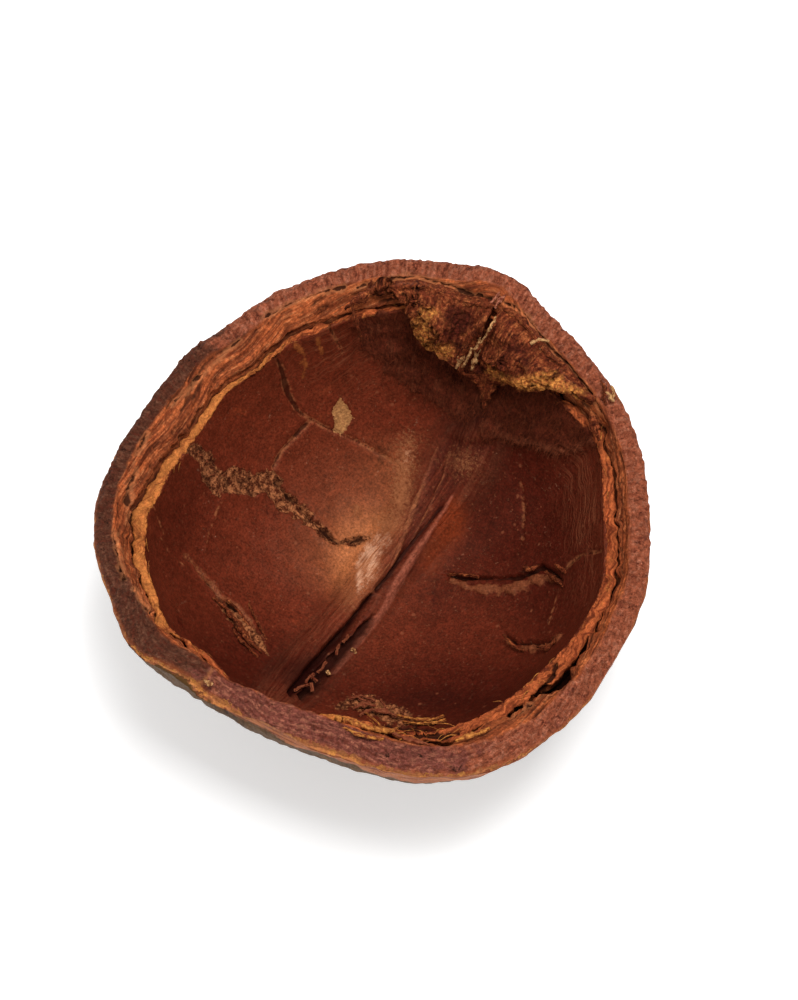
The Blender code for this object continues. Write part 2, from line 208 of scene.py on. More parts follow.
HOLES = (((398, 727, 1.5), (414, 730, 4.5), (430, 734, 5.5), (445, 737, 4.5), (458, 733, 1.5)),
         ((556, 664, 1.5), (553, 676, 3.4), (543, 689, 2.6), (530, 703, 1.4), (510, 716, 0.8)),
         ((362, 705, 0.8), (367, 706, 1.8), (372, 708, 0.8)), ((387, 724, 0.8), (392, 726, 2.0),
          (398, 727, 0.8)))
# Painted shade: soft dark spots in the groove, under the stem lobes and low on the floor near the lower rim
PAINTED_SHADE = ((318, 664, 15, 12, 0.7), (303, 682, 13, 9, 0.7), (340, 640, 11, 9, 0.6), (280, 668, 22, 12, 0.45),
       (480, 412, 12, 10, 0.7), (458, 424, 16, 10, 0.45), (455, 450, 12, 14, 0.4), (470, 700, 60, 16, 0.35),
       (400, 700, 60, 10, 0.3))
# Pale crumbly patches along the keel, partly a painted highlight
CRUMBS_AND_SHEEN = ((405, 466, 10, 18, 0.9), (400, 498, 9, 12, 0.9), (388, 524, 14, 10, 0.9), (357, 510, 4, 5, 0.8),
         (412, 440, 14, 8, 0.4), (462, 462, 14, 12, 0.7), (352, 600, 8, 12, 0.5))
# Painted highlight: pale pink-white spots beside the keel, where the satin lining catches the light
PAINTED_HIGHLIGHT = ((370, 560, 7, 15, 1.3), (359, 576, 3, 14, 1.0), (383, 540, 7, 8, 0.7), (407, 458, 5, 8, 0.5))
GLOW = ((448, 520, 14, 20, 1.0), (430, 560, 10, 16, 0.5))
# Soft tone spots on the lining: partly real paler and darker tone, partly painted light, with a painted
# highlight beside the keel and painted shade on the walls, the low floor, right of the keel and under the
# stem lobes
TONE_AND_PAINTED_LIGHT = ((350, 562, 14, 30, 0.55), (380, 530, 16, 16, 0.5), (366, 566, 10, 16, 0.5), (335, 565, 40, 44, 0.3),
         (398, 478, 24, 36, 0.3), (345, 465, 55, 40, 0.14), (180, 520, 34, 60, -0.45),
          (240, 670, 80, 40, -0.7),
         (482, 410, 26, 34, -0.6), (520, 500, 50, 70, -0.8), (430, 350, 60, 50, -0.3),
          (470, 700, 80, 30, -0.8),
         (440, 580, 34, 60, -0.35), (560, 600, 40, 50, -0.5), (250, 380, 50, 30, 0.06))
STRIATED = ((588, 500, 17, 60, 1.0), (345, 345, 40, 30, 0.7))

# How densely the husk and lining are modelled round the valve, and a distance beyond every mark
HUSK_POINTS = 760
LINING_POINTS = 640
FAR = 40.0

# The gloss, the light and the floor
SPECULAR_LEVEL = 0.14
SPECULAR_TINT = (1.0, 0.6, 0.4, 1.0)
LIGHT_DISTANCE = 0.9
KEY_WAY = (0.12, 0.4, 0.9)
KEY_SIZE = 0.4
FILL_WAY = (-0.7, -0.2, 0.8)
FILL_SIZE = 0.6
WORLD_STRENGTH = 0.42
FLOOR_HALF = 1.5
FLOOR_GLOW = 0.45
PATTERN_SHIFT = (1.25, 1.76, 0.0)


def near(degrees, bumps):
    """Sum of bell-shaped bumps (degrees, height, spread) at angles round the valve."""
    total = 0.0
    for at, height, spread in bumps:
        away = (degrees - at + 180) % 360 - 180
        total = total + height * np.exp(-0.5 * (away / spread) ** 2)
    return total


def round_table(degrees, table):
    """Values at angles from a table of (degrees, value) that closes on itself."""
    places, values = zip(*table)
    return np.interp(degrees % 360, (*places, places[0] + 360), (*values, values[0]))


def swing(degrees):
    """1 at the stem and tip ends, -1 at the two sides."""
    return -np.cos(2 * np.radians(degrees))


def rim_radius(degrees):
    return RIM_RADIUS + near(degrees, SWELLINGS) + near(degrees, KNOBS) + near(degrees, RIM_TRIMS)


def rim_height(degrees):
    return RIM_HEIGHT + SADDLE * swing(degrees) + near(degrees, RIM_RISES)


def lining_radius(degrees):
    return rim_radius(degrees) - WALL - near(degrees, WALL_SWELLINGS)


def lining_top(degrees):
    return rim_height(degrees) - LINING_DROP - near(degrees, LINING_TORN)


def end_angle(degrees):
    return np.radians(END_ANGLE + END_ANGLE_SWING * swing(degrees))


def bowl(edge_radius, edge_height, bottom, end, fullness):
    """Full radius and centre height of the curve that passes through the edge and touches the bottom."""
    power = 2 / fullness
    share = np.cos(end) ** power
    return edge_radius / np.sin(end) ** power, (edge_height - bottom * share) / (1 - share)


def lining_bowl(degrees):
    return bowl(lining_radius(degrees), lining_top(degrees), FLOOR_HEIGHT, end_angle(degrees),
                INNER_FULLNESS)


def lining_point(degrees, share):
    """Radius and height of the lining, from the floor's middle (0) to the torn edge (1)."""
    radius, centre = lining_bowl(degrees)
    power = 2 / INNER_FULLNESS
    turn = end_angle(degrees) * share
    return radius * np.sin(turn) ** power, centre - (centre - FLOOR_HEIGHT) * np.cos(turn) ** power


def lining_height(x, y):
    """Height of the lining under points seen from above."""
    radius, centre = lining_bowl(np.degrees(np.arctan2(y, x)))
    turn = np.arcsin(np.minimum(1.0, np.hypot(x, y) / radius) ** (INNER_FULLNESS / 2))
    return centre - (centre - FLOOR_HEIGHT) * np.cos(turn) ** (2 / INNER_FULLNESS)


def skin_point(degrees, share):
    """Radius and height of the outer skin, from the edge of the rest spot (0) to the rim (1)."""
    end = end_angle(degrees)
    power = 2 / OUTER_FULLNESS
    radius, centre = bowl(rim_radius(degrees), rim_height(degrees), -REST_SINK, end, OUTER_FULLNESS)
    start = np.arccos((centre / (centre + REST_SINK)) ** (1 / power))
    turn = start + (end - start) * share
    middle = math.sin(math.pi * share)
    furrow = FURROW_DEPTH * near(degrees, ((90, 1, FURROW_SPREAD), (270, 1, FURROW_SPREAD)))
    waves = np.sin(np.radians(5 * degrees) + 6 * share) + np.sin(np.radians(8 * degrees) - 9 * share)
    inset = SKIN_INSET * near(degrees, ((272, 1, 34),)) * middle ** 0.6
    reach = radius * np.sin(turn) ** power + middle * (LUMP_HEIGHT * waves - furrow) - inset
    return reach, centre - (centre + REST_SINK) * np.cos(turn) ** power


def rim_middle():
    """Middle of the rim's box from above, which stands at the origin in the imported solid."""
    degrees = np.arange(108) * 360 / 108
    radius = rim_radius(degrees)
    x, y = radius * np.cos(np.radians(degrees)), radius * np.sin(np.radians(degrees))
    return np.array(((x.min() + x.max()) / 2, (y.min() + y.max()) / 2, 0.0))


MIDDLE = rim_middle()
VIEW_RIGHT = np.array((math.cos(VIEW_TURN), math.sin(VIEW_TURN), 0.0))
VIEW_BACK = np.array((math.sin(VIEW_TURN) * math.cos(VIEW_TILT), -math.cos(VIEW_TURN) * math.cos(VIEW_TILT),
                      math.sin(VIEW_TILT)))
VIEW_UP = np.cross(VIEW_BACK, VIEW_RIGHT)
AIM = (ANCHOR + VIEW_RIGHT * (PICTURE[0] / 2 - ANCHOR_PIXEL[0]) * PIXEL
       + VIEW_UP * (ANCHOR_PIXEL[1] - PICTURE[1] / 2) * PIXEL)


def to_picture(points):
    """Pixels of the photograph that points of the valve fall on."""
    away = points - AIM
    depth = 1.0 - away @ VIEW_BACK / VIEW_DISTANCE
    x = PICTURE[0] / 2 + away @ VIEW_RIGHT / depth / PIXEL
    y = PICTURE[1] / 2 - away @ VIEW_UP / depth / PIXEL
    return np.stack((x, y), axis=-1)


def ground_height(x, y):
    """Height of the lining, or of the rim's inner slope beyond it, under points seen from above."""
    degrees = np.degrees(np.arctan2(y, x))
    beyond = np.hypot(x, y) - lining_radius(degrees)
    slope = lining_top(degrees) + 0.75 * np.clip(beyond, 0, 5)
    return np.where(beyond > 0, slope, lining_height(x, y))


def from_picture(pixels, lift=0.0):
    """Points over the lining or rim, lifted towards the eye, that the photograph shows at pixels."""
    pixels = np.asarray(pixels, float)
    start = (AIM + (pixels[:, :1] - PICTURE[0] / 2) * PIXEL * VIEW_RIGHT
             + (PICTURE[1] / 2 - pixels[:, 1:2]) * PIXEL * VIEW_UP)
    eye = AIM + VIEW_BACK * VIEW_DISTANCE
    ray = start - eye
    ray = ray / np.linalg.norm(ray, axis=1, keepdims=True)
    near_end = np.full(len(pixels), VIEW_DISTANCE - 30.0)
    reach = near_end.copy()
    for stride in (1.0, 0.1, 0.01):
        reach = reach - (stride * 10 if stride < 1 else 0)
        open_air = np.ones(len(pixels), bool)
        for _step in range(90 if stride == 1.0 else 11):
            reach = reach + np.where(open_air, stride, 0.0)
            spots = eye + ray * reach[:, None]
            open_air &= spots[:, 2] > ground_height(spots[:, 0], spots[:, 1])
    return eye + ray * (reach[:, None] - np.reshape(lift, (-1, 1)))


def rough(points, size, seed, octaves=3):
    """Lumpy noise between -1 and 1 at points, with lumps of about the given size."""
    table = np.random.default_rng(seed).uniform(-1, 1, (32, 32, 32))
    total, weight, whole = 0.0, 1.0, 0.0
    for octave in range(octaves):
        grid = points * (2 ** octave / size) + 7.3 * octave
        base = np.floor(grid).astype(int)
        part = grid - base
        part = part * part * (3 - 2 * part)
        value = 0.0
        for corner in np.ndindex(2, 2, 2):
            spot = (base + corner) % 32
            blend = np.prod(np.where(np.array(corner) == 1, part, 1 - part), axis=-1)
            value = value + blend * table[spot[..., 0], spot[..., 1], spot[..., 2]]
        total = total + weight * value
        whole += weight
        weight *= 0.5
    return 1.7 * total / whole


def smooth_step(value, low, high):
    """0 below low, 1 above high, and a smooth rise between them."""
    share = np.clip((value - low) / (high - low), 0, 1)
    return share * share * (3 - 2 * share)


def bell(distance, width):
    return np.exp(-(distance / width) ** 2)


def from_line(pixels, path):
    """Distance of pixels from a line of (x, y, half width), beyond the half width, and the signed side."""
    best = np.full(pixels.shape[:-1], 1e6)
    side = np.zeros(pixels.shape[:-1])
    for (x0, y0, w0), (x1, y1, w1) in zip(path, path[1:]):
        run = np.array((x1 - x0, y1 - y0), float)
        away = pixels - (x0, y0)
        share = np.clip(away @ run / (run @ run), 0, 1)
        miss = np.linalg.norm(away - share[..., None] * run, axis=-1)
        distance = miss - (w0 + (w1 - w0) * share)
        closer = distance < best
        best = np.where(closer, distance, best)
        side = np.where(closer, miss * np.sign(run[0] * away[..., 1] - run[1] * away[..., 0]), side)
    return best * PIXEL, side * PIXEL


def from_outline(pixels, outline):
    """Distance of pixels from a closed outline, negative inside it."""
    ring = [(x, y, 0.0) for x, y in (*outline, outline[0])]
    distance = from_line(pixels, ring)[0]
    inside = np.zeros(pixels.shape[:-1], bool)
    for (x0, y0, _w0), (x1, y1, _w1) in zip(ring, ring[1:]):
        crosses = (y0 > pixels[..., 1]) != (y1 > pixels[..., 1])
        rise = (y1 - y0) or 1e-9
        inside ^= crosses & (pixels[..., 0] < (x1 - x0) * (pixels[..., 1] - y0) / rise + x0)
    return np.where(inside, -distance, distance)


def spots_at(pixels, marks):
    """Sum of soft round marks (x, y, reach across, reach down, amount) at pixels."""
    total = np.zeros(pixels.shape[:-1])
    for x, y, wide, high, amount in marks:
        total += amount * np.exp(-0.5 * (((pixels[..., 0] - x) / wide) ** 2
                                         + ((pixels[..., 1] - y) / high) ** 2))
    return total


def ring_point(degrees, radius, height):
    turn = np.radians(degrees)
    return np.stack((radius * np.cos(turn), radius * np.sin(turn), height + 0 * turn), axis=-1)


def grid_normals(grid):
    """Outward normals of a grid of rings that runs counterclockwise and onward."""
    sideways = np.roll(grid, -1, axis=1) - np.roll(grid, 1, axis=1)
    normal = np.cross(sideways, np.gradient(grid, axis=0))
    return normal / np.maximum(np.linalg.norm(normal, axis=-1, keepdims=True), 1e-9)


def run_onward(grid):
    """Length onward across the rings, for patterns that follow the surface."""
    return np.cumsum(np.linalg.norm(np.diff(grid, axis=0, prepend=grid[:1]), axis=-1), axis=0)


def link_mesh(name, points, faces, masks):
    """A mesh object at the origin from points in millimetres round the middle of the valve."""
    inset = 0.01
    points = np.clip(points - MIDDLE, CAD_LOW + (inset, inset, 0), CAD_HIGH - inset)
    mesh = bpy.data.meshes.new(name)
    mesh.from_pydata((points * MM).tolist(), [], faces)
    for label, values in masks.items():
        layer = mesh.attributes.new(label, "FLOAT", "POINT")
        layer.data.foreach_set("value", np.asarray(values, np.float32))
    mesh.shade_smooth()
    piece = bpy.data.objects.new(name, mesh)
    bpy.context.scene.collection.objects.link(piece)
    return piece


def closed_grid(name, grid, masks):
    """A closed body from a grid of rings, with a pole at each end."""
    rings, around = grid.shape[:2]
    index = np.arange(rings * around).reshape(rings, around)
    after = np.roll(index, -1, axis=1)
    quads = np.stack((index[:-1], after[:-1], after[1:], index[1:]), axis=-1).reshape(-1, 4)
    poles = rings * around + np.zeros((2, around), int) + [[0], [1]]
    first = np.stack((poles[0], after[0], index[0]), axis=-1)
    last = np.stack((poles[1], index[-1], after[-1]), axis=-1)
    points = np.vstack((grid.reshape(-1, 3), grid[:1].mean(axis=1), grid[-1:].mean(axis=1)))
    flat = {label: np.append(values.ravel(), (values[0].mean(), values[-1].mean()))
            for label, values in masks.items()}
    return link_mesh(name, points, [*quads.tolist(), *first.tolist(), *last.tolist()], flat)


def finish_piece(piece, material):
    """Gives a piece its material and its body."""
    piece.data.materials.clear()
    piece.data.materials.append(material)
    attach(piece, BODY)


def add(tree, kind, inputs=(), **settings):
    """Adds a node, sets its properties, and links or sets its inputs by name or number."""
    node = tree.nodes.new(kind)
    for name, value in settings.items():
        setattr(node, name, value)
    for name, value in (inputs.items() if isinstance(inputs, dict) else enumerate(inputs)):
        if isinstance(value, bpy.types.NodeSocket):
            tree.links.new(value, node.inputs[name])
        else:
            node.inputs[name].default_value = value
    return node


def maths(tree, operation, *values):
    return add(tree, "ShaderNodeMath", values, operation=operation).outputs[0]


def times(tree, one, two):
    return maths(tree, "MULTIPLY", one, two)


def plus(tree, one, two):
    return maths(tree, "ADD", one, two)


def minus(tree, one, two):
    return maths(tree, "SUBTRACT", one, two)


def swayed(tree, value, noise, reach):
    """A value moved up and down by noise between 0 and 1."""
    return plus(tree, value, times(tree, minus(tree, noise, 0.5), reach))


def vectors(tree, operation, *values):
    return add(tree, "ShaderNodeVectorMath", values, operation=operation).outputs[0]


def scaled(tree, vector, amount):
    return add(tree, "ShaderNodeVectorMath", {0: vector, 3: amount}, operation="SCALE").outputs[0]


def mix(tree, share, low, high, blend="MIX"):
    """Mixes two colours."""
    node = add(tree, "ShaderNodeMix", {0: share, 6: low, 7: high}, data_type="RGBA", blend_type=blend)
    return node.outputs[2]


def stretch(tree, value, low, high, start=0.0, end=1.0):
    """Smooth change from start at low to end at high."""
    inputs = (value, low, high, start, end)
    return add(tree, "ShaderNodeMapRange", inputs, interpolation_type="SMOOTHSTEP").outputs[0]


def cloud(tree, vector, scale, detail=3.0, roughness=0.6):
    """Noise between 0 and 1."""
    inputs = {"Vector": vector, "Scale": scale, "Detail": detail, "Roughness": roughness}
    return add(tree, "ShaderNodeTexNoise", inputs).outputs[0]


def mask(tree, name):
    return add(tree, "ShaderNodeAttribute", attribute_name=name).outputs["Fac"]


def per_size(tree, size):
    return maths(tree, "DIVIDE", 1.0, size)


def new_group(name, inputs, outputs):
    """A shader group with named sockets; returns its tree, what comes in and what goes out."""
    tree = bpy.data.node_groups.new(name, "ShaderNodeTree")
    for label, kind, default in inputs:
        socket = tree.interface.new_socket(name=label, in_out="INPUT", socket_type="NodeSocket" + kind)
        if default is not None:
            socket.default_value = default
    for label, kind in outputs:
        tree.interface.new_socket(name=label, in_out="OUTPUT", socket_type="NodeSocket" + kind)
    return tree, tree.nodes.new("NodeGroupInput").outputs, tree.nodes.new("NodeGroupOutput").inputs


def place_group(tree, name, **inputs):
    """Places a shader group, with its inputs named in words joined by underscores."""
    named = {label.replace("_", " "): value for label, value in inputs.items()}
    node = tree.nodes.new("ShaderNodeGroup")
    node.node_tree = bpy.data.node_groups[name]
    for label, value in named.items():
        if isinstance(value, bpy.types.NodeSocket):
            tree.links.new(value, node.inputs[label])
        else:
            node.inputs[label].default_value = value
    return node.outputs


def make_mottle_group():
    """Three tones in soft patches."""
    tree, given, made = new_group("mottled tones", (("Vector", "Vector", None), ("Size", "Float", 2.0),
                                                    ("Dark", "Color", (0, 0, 0, 1)),
                                                    ("Middle", "Color", (0.5, 0.5, 0.5, 1)),
                                                    ("Pale", "Color", (1, 1, 1, 1)),
                                                    ("Contrast", "Float", 0.5)),
                                  (("Color", "Color"), ("Value", "Float")))
    tone = cloud(tree, given["Vector"], per_size(tree, given["Size"]), 5.0, 0.65)
    half = times(tree, given["Contrast"], 0.25)
    low = minus(tree, 0.5, half)
    high = plus(tree, 0.5, half)
    under = stretch(tree, tone, minus(tree, low, 0.08), low)
    over = stretch(tree, tone, high, plus(tree, high, 0.1))
    tree.links.new(mix(tree, over, mix(tree, under, given["Dark"], given["Middle"]), given["Pale"]),
                   made["Color"])
    tree.links.new(tone, made["Value"])


def make_ragged_group():
    """1 beyond a distance and 0 before it, with a torn border."""
    tree, given, made = new_group("ragged border", (("Distance", "Float", 0.0), ("Vector", "Vector", None),
                                                    ("Size", "Float", 0.8), ("Tear", "Float", 0.4),
                                                    ("Softness", "Float", 0.1)),
                                  (("Mask", "Float"), ("Distance", "Float")))
    wave = cloud(tree, given["Vector"], per_size(tree, given["Size"]), 4.0, 0.65)
    shift = times(tree, minus(tree, wave, 0.5), times(tree, given["Tear"], 3.0))
    distance = plus(tree, given["Distance"], shift)
    low = times(tree, given["Softness"], -1.0)
    tree.links.new(stretch(tree, distance, low, given["Softness"]), made["Mask"])
    tree.links.new(distance, made["Distance"])


def make_grain_group():
    """Corky grains and the pits between them."""
    tree, given, made = new_group(
        "corky grain",
        (("Vector", "Vector", None), ("Size", "Float", 0.6), ("Warp", "Float", 0.5)),
        (("Height", "Float"), ("Pits", "Float")))
    scale = per_size(tree, given["Size"])
    drift = add(tree, "ShaderNodeTexNoise", {"Vector": given["Vector"], "Scale": scale,
                                             "Detail": 3.0}).outputs[1]
    lean = scaled(tree, drift, given["Warp"])
    vector = vectors(tree, "ADD", given["Vector"], lean)
    cells = add(tree, "ShaderNodeTexVoronoi", {"Vector": vector, "Scale": scale},
                feature="SMOOTH_F1").outputs[0]
    fine = cloud(tree, vector, times(tree, scale, 2.3), 4.0, 0.7)
    height = minus(tree, times(tree, fine, 1.2), times(tree, cells, 0.9))
    tree.links.new(height, made["Height"])
    tree.links.new(stretch(tree, height, 0.0, 0.25, 1.0, 0.0), made["Pits"])


def make_strand_group():
    """Strands along a surface, from coordinates already stretched along them."""
    tree, given, made = new_group(
        "woody strands",
        (("Vector", "Vector", None), ("Waviness", "Float", 0.5)),
        (("Value", "Float"), ("Splits", "Float")))
    drift = add(tree, "ShaderNodeTexNoise", {"Vector": given["Vector"], "Scale": 0.35,
                                             "Detail": 2.0}).outputs[1]
    lean = scaled(tree, drift, given["Waviness"])
    vector = vectors(tree, "ADD", given["Vector"], lean)
    value = cloud(tree, vector, 1.0, 4.0, 0.6)
    tree.links.new(value, made["Value"])
    tree.links.new(stretch(tree, value, 0.34, 0.44, 1.0, 0.0), made["Splits"])


def make_fleck_group():
    """Sparse small flecks."""
    tree, given, made = new_group(
        "flecks",
        (("Vector", "Vector", None), ("Size", "Float", 0.5), ("Share", "Float", 0.1)),
        (("Mask", "Float"),))
    cells = add(tree, "ShaderNodeTexVoronoi", {"Vector": given["Vector"],
                                               "Scale": per_size(tree, given["Size"])})
    pick = add(tree, "ShaderNodeSeparateColor", (cells.outputs["Color"],)).outputs[0]
    chosen = maths(tree, "LESS_THAN", pick, given["Share"])
    dot = stretch(tree, cells.outputs["Distance"], 0.12, 0.3, 1.0, 0.0)
    tree.links.new(times(tree, chosen, dot), made["Mask"])


def make_shared_groups():
    for make in (make_mottle_group, make_ragged_group, make_grain_group, make_strand_group,
                 make_fleck_group):
        make()


def tint(red, green, blue):
    """A linear colour from a colour as it is seen, 0 to 255."""
    return tuple(((part / 255 + 0.055) / 1.055) ** 2.4 if part > 10 else part / 3295
                 for part in (red, green, blue)) + (1.0,)


def new_material(name):
    """A material with its tree, shader and millimetre coordinates."""
    material = bpy.data.materials.new(name)
    material.use_nodes = True
    tree = material.node_tree
    shader = tree.nodes["Principled BSDF"]
    coordinates = add(tree, "ShaderNodeTexCoord").outputs["Object"]
    spots = scaled(tree, coordinates, 1000.0)
    return material, tree, shader, spots


def wire_finish(tree, shader, colour, roughness, height):
    """Links colour, roughness and a height in millimetres to the shader."""
    tree.links.new(colour, shader.inputs["Base Color"])
    tree.links.new(roughness, shader.inputs["Roughness"])
    bump = add(tree, "ShaderNodeBump", {"Strength": 1.0, "Distance": MM, "Height": height})
    tree.links.new(bump.outputs[0], shader.inputs["Normal"])
    shader.inputs["Specular IOR Level"].default_value = SPECULAR_LEVEL
    shader.inputs["Specular Tint"].default_value = SPECULAR_TINT


def round_vector(tree, spots, round_size, onward_size):
    """Coordinates stretched round the valve and onward across its surface."""
    turn = vectors(tree, "ADD", spots, PATTERN_SHIFT)
    flat = vectors(tree, "MULTIPLY", turn, (1.0, 1.0, 0.0))
    way = vectors(tree, "NORMALIZE", flat)
    ring = scaled(tree, way, RIM_RADIUS / round_size)
    rise = maths(tree, "DIVIDE", mask(tree, "onward_length"), onward_size)
    lift = add(tree, "ShaderNodeCombineXYZ", (0.0, 0.0, rise)).outputs[0]
    return vectors(tree, "ADD", ring, lift)


def speckle(tree, colour, vector, size, low, high, detail=5.0):
    """Fine dark and light specks of about a size, in millimetres, as shares of the colour."""
    tone = stretch(tree, cloud(tree, vector, 1 / size, detail, 0.75), 0.3, 0.7, low, high)
    return mix(tree, 1.0, colour, tone, blend="MULTIPLY")


def mottled(tree, spots, tones, name, size, contrast):
    """A tone in soft patches with its own dark and pale tones."""
    return place_group(tree, "mottled tones", Vector=spots, Size=size, Dark=tones[name + "_dark"],
                       Middle=tones[name], Pale=tones[name + "_pale"], Contrast=contrast)


def strands(tree, spots, round_size, onward_size, waviness):
    """Woody strands of a length round the valve and a length onward across it."""
    vector = round_vector(tree, spots, round_size, onward_size)
    return place_group(tree, "woody strands", Vector=vector, Waviness=waviness)


def ragged(tree, spots, name, size, tear, softness):
    """The inside of a mark, with a torn border."""
    return place_group(tree, "ragged border", Distance=times(tree, mask(tree, name), -1.0), Vector=spots,
                       Size=size, Tear=tear, Softness=softness)


def rim_rings(degrees):
    """Sizes of the rim at angles: outer radius, height, band end and gap lip."""
    outer = rim_radius(degrees)
    height = rim_height(degrees)
    circle = ring_point(degrees, RIM_RADIUS, 0.0)
    band_end = outer - round_table(degrees, BAND_WIDTHS) + 0.3 * rough(circle, 3.5, 21)
    gap_lip = lining_lip(degrees) + round_table(degrees, GAP_WIDTHS) * (1 + 0.9 * rough(circle, 2.2, 22))
    return outer, height, band_end, np.minimum(gap_lip, band_end - 0.5)


def lining_lip(degrees):
    """Radius of the lining's torn edge."""
    circle = ring_point(degrees, RIM_RADIUS, 0.0)
    torn = 0.45 * rough(circle, 4.0, 23) + 0.3 * rough(circle, 1.4, 24)
    return lining_radius(degrees) + round_table(degrees, EDGE_WIDTHS) * (1 + 0.35 * torn) + 0.5 * torn


def low_part(degrees):
    """1 in the sunken part of the rim at the lower left, with short slopes at its ends."""
    start, end = LOW_PART
    return smooth_step(degrees, start - 0.5, start + 0.5) * smooth_step(-degrees, -end - 0.9, -end + 0.9)


def husk_rings(degrees):
    """Rings of the husk from the rest spot up the skin, over the rim and down into the gap."""
    outer, height, band_end, gap_lip = rim_rings(degrees)
    top = height + 0.3 + BAND_RISE
    notch = near(degrees, ((252.0, 0.5, 4.0),)) - LOW_PART_DROP * low_part(degrees)
    rings = [(skin_point(degrees, 0.0)[0] * share, 0.0 * degrees, 0.0) for share in (0.3, 0.6, 0.9)]
    for share in np.linspace(0.0, 1.0, 46):
        reach, low = skin_point(degrees, share)
        rings.append((reach, low + 0.8 * notch * smooth_step(share, 0.8, 1.0), share))
    for share in np.linspace(0.03, 1.0, 26):
        crown = 0.5 * np.sin(math.pi * min(1.0, share + 0.15))
        radius = outer - 0.15 - (outer - 0.15 - band_end) * share
        rings.append((radius, height + 0.1 + 0.2 * min(1.0, share * 6) + BAND_RISE * share + crown
                      + notch * math.sin(math.pi * min(1.0, share + 0.3)), 1.0 + share))
    for share in np.linspace(0.07, 1.0, 15):
        rings.append((band_end + (gap_lip - band_end) * share, top - (BAND_RISE + STRIP_DROP) * share ** 1.3,
                      2.0 + share))
    floor = height - STRIP_DROP - round_table(degrees, GAP_DEPTHS)
    for share in np.linspace(0.15, 1.0, 8):
        start = top - BAND_RISE - STRIP_DROP
        rings.append((gap_lip + 0.25 * math.sin(math.pi * share), start + (floor - start) * share,
                      3.0 + share))
    for share in (0.9, 0.75, 0.6, 0.45, 0.3, 0.15, 0.05):
        radius, low = lining_point(degrees, share)
        rings.append((radius, low - 2.6, 4.0))
    return rings


def shape_husk():
    """Grid of the husk, and the attributes that say where its band, strip and gap begin."""
    degrees = np.arange(HUSK_POINTS) * 360.0 / HUSK_POINTS
    rings = husk_rings(degrees)
    grid = np.stack([ring_point(degrees, radius, height) for radius, height, _zone in rings])
    zone = np.array([ring[2] for ring in rings])[:, None] + 0 * degrees
    onward = run_onward(grid)
    edge_ring = int(np.argmax(zone[:, 0] >= 1.0))
    band_ring = int(np.argmax(zone[:, 0] >= 2.0))
    strip_ring = int(np.argmax(zone[:, 0] >= 3.0))
    band_in = onward - onward[edge_ring] - round_table(degrees, SKIN_LAPS)
    strip_in = onward - onward[band_ring]
    gap_in = onward - onward[strip_ring]
    normals = grid_normals(grid)
    skin = smooth_step(-band_in, 0.0, 0.6) * smooth_step(zone, 0.0, 0.12)
    band = smooth_step(band_in, -0.2, 0.4) * smooth_step(-strip_in, -0.3, 0.3)
    strip = smooth_step(strip_in, -0.3, 0.5) * (zone < 4.0)
    turn = np.radians(degrees) + 0 * onward
    round_way = np.stack((46 * np.cos(turn), 46 * np.sin(turn), onward), axis=-1)
    lumps = 0.3 * (rough(grid, 4.5, 11) - 0.9) + 0.16 * rough(round_way / (1.0, 1.0, 4.0), 1.4, 12, 2)
    grains = 0.2 * (rough(grid, 1.3, 13) - 0.8) + 0.16 * rough(grid, 0.62, 14, 2)
    radial = rough(round_way / (1.0, 1.0, 5.0), 0.9, 15, 2)
    grains = grains - 0.3 * smooth_step(radial, 0.45, 0.8) * near(degrees, ((20, 1.0, 60),))
    strands = 0.13 * rough(round_way / (9.0, 9.0, 1.0), 0.5, 16, 3) + 0.12 * rough(grid, 0.9, 17, 3)
    layer = 1.7 * rough(round_way / (12.0, 12.0, 1.0), 1.7, 20, 2) + 0.2 * rough(grid, 0.8, 25)
    layer = np.floor(layer) + smooth_step(layer - np.floor(layer), 0.38, 0.62)
    strands = strands + 0.15 * layer
    splits = smooth_step(rough(round_way / (9.0, 9.0, 1.0), 0.55, 18, 3), 0.5, 0.68)
    shift = skin * lumps + band * grains + strip * (strands - 0.3 * splits)
    shift = shift - 0.35 * bell(band_in, 0.35) * (0.6 + 0.6 * rough(grid, 2.0, 19))
    shift = shift + 0.25 * smooth_step(band_in, 0.0, 0.35) * smooth_step(-strip_in, 1.0, 2.0)
    pixels = to_picture(grid)
    seen = (normals @ VIEW_BACK > 0.05) & (zone > 1.0)
    wobble = 0.3 * rough(grid, 1.4, 29) + 0.3 * rough(grid, 0.6, 30)
    split = np.min([from_line(pixels, path)[0] for path in (*RIM_CRACKS, *HOLES)], axis=0)
    split = np.where(seen, split + wobble, FAR)
    shift = shift - 0.6 * smooth_step(-split, -0.25, 0.15)
    grid = grid + normals * shift[..., None]
    masks = {
        "crack": split,
        "onward_length": onward, "band_in": band_in, "strip_in": strip_in, "gap_in": gap_in,
        "split": splits * strip, "layer": layer,
        "end": end_distance(degrees, band_in, strip_in),
    }
    for label, bumps in HUSK_MARKS.items():
        masks[label] = near(degrees, bumps) + 0 * onward
    return grid, masks


def end_distance(degrees, band_in, strip_in):
    """How far, in millimetres, past the rounded end of the dark part of the band."""
    middle = (band_in + strip_in) / 2
    return (degrees - LOW_PART[0]) * math.radians(RIM_RADIUS) + 0.13 * middle ** 2


